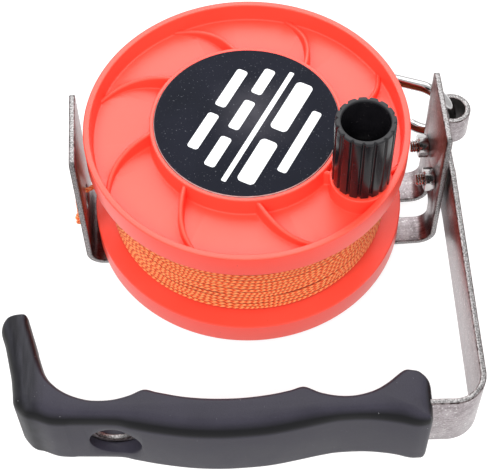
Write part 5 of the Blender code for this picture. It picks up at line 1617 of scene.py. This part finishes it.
def make_grip():
    """The moulded handle, rounded wide along its front and narrow along its finger side."""
    shares = [(GRIP_RIGHT_X - along * GRIP_LENGTH, GRIP_BACK_Y + across * GRIP_DEPTH)
              for along, across in GRIP_OUTLINE_SHARES]
    outline = smooth_path(shares, GRIP_SMOOTH_STEPS, closed=True)
    inward = inward_directions(outline, GRIP_SMOOTH_STEPS // 2)
    levels = []
    for i in range(GRIP_ROUND_STEPS + 1):
        angle = math.pi / 2 * i / GRIP_ROUND_STEPS
        levels.append((GRIP_ROUND_HEIGHT * (1.0 - math.sin(angle)), 1.0 - math.cos(angle)))
    heights = [(GRIP_LOW_Z + up, inset) for up, inset in levels[::-1]]
    heights += [(GRIP_HIGH_Z - up, inset) for up, inset in levels]
    bm = bmesh.new()
    ring_verts = [bm.verts.new((*point, heights[0][0])) for point in outline]
    face = bm.faces.new(ring_verts)
    order = list(ring_verts)
    place_ring(order, outline, inward, *heights[0])
    for level, (height, inset) in enumerate(heights[1:]):
        grown = bmesh.ops.extrude_face_region(bm, geom=[face])
        if level > 0:
            bmesh.ops.delete(bm, geom=[face], context='FACES_ONLY')
        face = next(item for item in grown["geom"] if isinstance(item, bmesh.types.BMFace))
        order = aligned(face, order)
        place_ring(order, outline, inward, height, inset)
    bmesh.ops.recalc_face_normals(bm, faces=bm.faces)
    tang = strap_path()[-2:]
    tang[1] = (TANG_END_X - GAP, tang[1][1])
    cavity = extruded(beside(tang, STEEL / 2 + GAP) + beside(tang, -STEEL / 2 - GAP)[::-1],
                      STRAP_LOW_Z - GAP, STRAP_HIGH_Z + GAP)
    lanyard = extruded(
        circle(LANYARD_HOLE_RADIUS, WIDE_SIDES, (LANYARD_HOLE_X, STRAP_MID_Z)),
        STRAP_FRONT_Y - GRIP_DEPTH * 2, STRAP_FRONT_Y + GRIP_DEPTH * 2, 1)
    bm = combined(bm, ('DIFFERENCE', painted(cavity, 1)), ('DIFFERENCE', painted(lanyard, 1)))
    soften(bm, LANYARD_ROUND, 2, LANYARD_EDGE_ANGLE, at_lanyard_hole)
    finished("grip_moulding", painted(bm, 0), ["grip"], "frame", "grip", "handle_grip")


def at_lanyard_hole(edge):
    """Whether an edge is where the hole breaks through the grip's skin."""
    inside, outside = sorted(face.material_index for face in edge.link_faces)
    return inside != outside and edge.verts[0].co.x < 0.0


def aligned(face, order):
    """The new face's corners, in the order of the ring that it grew from."""
    corners = [loop.vert for loop in face.loops]
    off_first = [(vert.co.xy - order[0].co.xy).length for vert in corners]
    start = off_first.index(min(off_first))
    corners = corners[start:] + corners[:start]
    off_second = [(vert.co.xy - order[1].co.xy).length for vert in (corners[1], corners[-1])]
    if off_second[0] > off_second[1]:
        corners = [corners[0]] + corners[:0:-1]
    return corners


def place_ring(order, outline, inward, height, inset):
    for vert, point, direction in zip(order, outline, inward):
        place = point + direction * inset + direction.normalized() * GRIP_TRIM
        vert.co = (place.x, place.y, height)


def inscribed_radius(outline, i, normal):
    """The radius of the largest circle inside the outline that touches it there."""
    best = GRIP_DEPTH
    for point in outline:
        reach = point - outline[i]
        towards = reach.dot(normal)
        if towards > MERGE:
            best = min(best, reach.length_squared / (2.0 * towards))
    return best


def inward_directions(outline, reach):
    """Where each point goes at the top of the rounding: far in front, little behind."""
    count = len(outline)
    normals = []
    for i in range(count):
        along = outline[(i + 1) % count] - outline[i - 1]
        normals.append(Vector((-along.y, along.x)).normalized())
    directions = []
    insets = []
    for i in range(count):
        mean = Vector((0.0, 0.0))
        for k in range(-reach, reach + 1):
            mean += normals[(i + k) % count] * (1.0 + math.cos(math.pi * k / (reach + 1)))
        mean.normalize()
        directions.append(mean)
        wanted = GRIP_ROUND_BACK
        wanted += (GRIP_ROUND_FRONT - GRIP_ROUND_BACK) * smooth_step(0.5 + mean.y)
        widest = GRIP_ROUND_SHARE * inscribed_radius(outline, i, normals[i])
        insets.append(min(wanted, widest))
    for smoothing in range(GRIP_ROUND_SMOOTHING):
        spread = [(insets[i - 1] + 2.0 * insets[i] + insets[(i + 1) % count]) / 4.0
                  for i in range(count)]
        if smoothing < GRIP_ROUND_SMOOTHING * 2 / 3:
            insets = [min(pair) for pair in zip(insets, spread)]
        else:
            insets = spread
    return [direction * inset for direction, inset in zip(directions, insets)]


# Snap hook

def snap_place(along, height):
    return Vector((CURL_X + along * math.cos(SNAP_ANGLE),
                   CURL_Y + along * math.sin(SNAP_ANGLE), STRAP_MID_Z + height))


def snap_side(along):
    """Half the hook's height at a place along it, on its straight sides."""
    share = (along - SNAP_HALF_HEIGHT) / (SNAP_LENGTH - SNAP_FAR_RADIUS - SNAP_HALF_HEIGHT)
    return SNAP_HALF_HEIGHT + (SNAP_FAR_RADIUS - SNAP_HALF_HEIGHT) * share


def snap_slab(outline, half_width):
    """An outline in the hook's upright plane, thickened to both sides."""
    bm = extruded([(along, height) for along, height in outline], -half_width, half_width, 1)
    upright = Matrix.Rotation(SNAP_ANGLE, 4, 'Z')
    bmesh.ops.transform(bm, verts=bm.verts,
                        matrix=Matrix.Translation((CURL_X, CURL_Y, STRAP_MID_Z)) @ upright)
    return bm


def rod(start, end, radius, sides=HOLE_SIDES):
    span = end - start
    bm = bmesh.new()
    bmesh.ops.create_cone(bm, cap_ends=True, segments=sides, radius1=radius, radius2=radius,
                          depth=span.length)
    turn = span.to_track_quat('Z', 'Y').to_matrix().to_4x4()
    bmesh.ops.transform(bm, verts=bm.verts, matrix=Matrix.Translation((start + end) / 2) @ turn)
    return bm


def make_snap():
    near = SNAP_HALF_HEIGHT
    nose_s = GATE_FREE_S - GATE_END_GAP
    places = [(s, -snap_side(s)) for s in (nose_s, nose_s - SNAP_NOSE_RUN)]
    places += [(near + a, b) for a, b in arc((0.0, 0.0), near, 1.5 * math.pi, 0.5 * math.pi,
                                             2 * SNAP_ARC_STEPS)]
    far_s = SNAP_LENGTH - SNAP_FAR_RADIUS
    places += [(far_s + a, b) for a, b in arc((0.0, 0.0), SNAP_FAR_RADIUS, 0.5 * math.pi,
                                              -0.5 * math.pi, 2 * SNAP_ARC_STEPS)]
    places.append((HINGE_ROOT_S, -snap_side(HINGE_ROOT_S)))
    wire = swept([snap_place(*place) for place in places], SNAP_WIRE_RADIUS, 8)
    soften(wire, SNAP_END_ROUND, 3, ROD_END_ANGLE)
    pin_height = -snap_side(GATE_PIN_S)
    root_height = -snap_side(HINGE_ROOT_S)
    eye = arc((GATE_PIN_S, pin_height), HINGE_EYE_RADIUS, math.pi / 2, 1.5 * math.pi, 16)
    eye += [(HINGE_ROOT_S + OVERRUN, root_height - HINGE_EYE_RADIUS),
            (HINGE_ROOT_S + OVERRUN, root_height + HINGE_EYE_RADIUS)]
    pin = snap_place(GATE_PIN_S, pin_height)
    normal = Vector((math.sin(SNAP_ANGLE), -math.cos(SNAP_ANGLE), 0.0))
    across = normal * (SNAP_WIRE_RADIUS + OVERRUN)
    body = combined(wire, ('UNION', snap_slab(eye, HINGE_EYE_THICKNESS / 2)),
                    ('DIFFERENCE', rod(pin - across, pin + across, GATE_PIN_RADIUS + GAP)))
    finished("snap_wire", painted(body, 0), ["polished"], "snap", "snap_steel", "snap_body")
    end_s = HINGE_ROOT_S - GATE_END_GAP
    bar = rod(snap_place(GATE_FREE_S, -snap_side(GATE_FREE_S)),
              snap_place(end_s, -snap_side(end_s)), GATE_RADIUS)
    soften(bar, GATE_END_ROUND, 3, ROD_END_ANGLE)
    fork = HINGE_EYE_RADIUS + GAP
    slot = snap_slab(rectangle(GATE_PIN_S - fork - GAP, pin_height - 2 * fork,
                               HINGE_ROOT_S + OVERRUN, pin_height + 2 * fork),
                     HINGE_EYE_THICKNESS / 2 + GAP)
    gate = combined(bar, ('DIFFERENCE', slot),
                    ('DIFFERENCE', rod(pin - across, pin + across, GATE_PIN_RADIUS + GAP)))
    finished("snap_bar", painted(gate, 0), ["polished"], "gate", "snap_steel", "snap_gate")
    dress("polished", "gate_pin")


# Selector

def make_selector():
    low = LEVER_LOW.z
    top = low + LEVER_THICKNESS
    half = (LEVER_HIGH.x - LEVER_LOW.x) / 2
    outline = rounded([
        (NOSE_LOW_X, -NOSE_WIDTH / 2, 0.0), (NOSE_HIGH_X, -NOSE_WIDTH / 2, 0.0),
        (NOSE_HIGH_X, NOSE_WIDTH / 2, 0.0),
        (LEVER_X + half, LEVER_PIVOT_Y - half / 2, half / 2),
        (LEVER_X + half, LEVER_HIGH.y, half * LEVER_END_SHARE),
        (LEVER_X - half, LEVER_HIGH.y, half * LEVER_END_SHARE),
        (LEVER_X - half, LEVER_PIVOT_Y - half / 2, half / 2)])
    nose = extruded(rectangle(NOSE_LOW_X, -NOSE_WIDTH / 2, NOSE_HIGH_X, NOSE_WIDTH / 2),
                    top - LEVER_THICKNESS / 2, LEVER_HIGH.z)
    hole = extruded(circle(LEVER_HOLE_RADIUS, HOLE_SIDES, (LEVER_X, LEVER_PIVOT_Y)),
                    low - OVERRUN, top + OVERRUN)
    bm = combined(extruded(outline, low, top), ('UNION', nose), ('DIFFERENCE', hole))
    finished("lever_sheet", soften(painted(bm, 0), LEVER_ROUND), ["bracket"], "selector",
             "stainless", "selector_lever")
    plan = rectangle(*TAB_LOW.xy, *TAB_HIGH.xy, TAB_CORNER, CORNER_STEPS)
    tab = soften(extruded(plan, TAB_LOW.z, TAB_HIGH.z), TAB_ROUND, 4)
    socket = extruded(rectangle(LEVER_LOW.x - GAP, TAB_LOW.y - OVERRUN, LEVER_HIGH.x + GAP,
                                LEVER_HIGH.y + GAP), TAB_LOW.z - OVERRUN, top + GAP)
    grooves = []
    for i in range(TAB_GROOVES):
        y = TAB_LOW.y + TAB_GROOVE_START + i * TAB_GROOVE_PITCH
        z = TAB_HIGH.z + TAB_GROOVE_LIFT
        grooves.append(rod(Vector((TAB_LOW.x - OVERRUN, y, z)),
                           Vector((TAB_HIGH.x + OVERRUN, y, z)), TAB_GROOVE_RADIUS,
                           TAB_GROOVE_SIDES))
    thumb = combined(tab, ('DIFFERENCE', gathered(grooves)), ('DIFFERENCE', socket))
    finished("lever_tab", painted(thumb, 0), ["tab"], "selector", "knob", "selector_tab")


def dress_the_rest():
    dress("bright", "axle_stud", "axle_washer", "axle_nut", "selector_pin",
          "flange_screw_1", "flange_screw_2", "flange_screw_3")
    dress("nylon", "thrust_washer", "lower_bush", "upper_bush", "knob_washer")


make_stage()
make_tail()
make_winding()
make_upper_flange()
make_lower_flange()
make_plate()
make_knob()
make_bracket()
make_strap()
make_fasteners()
make_grip()
make_snap()
make_selector()
dress_the_rest()
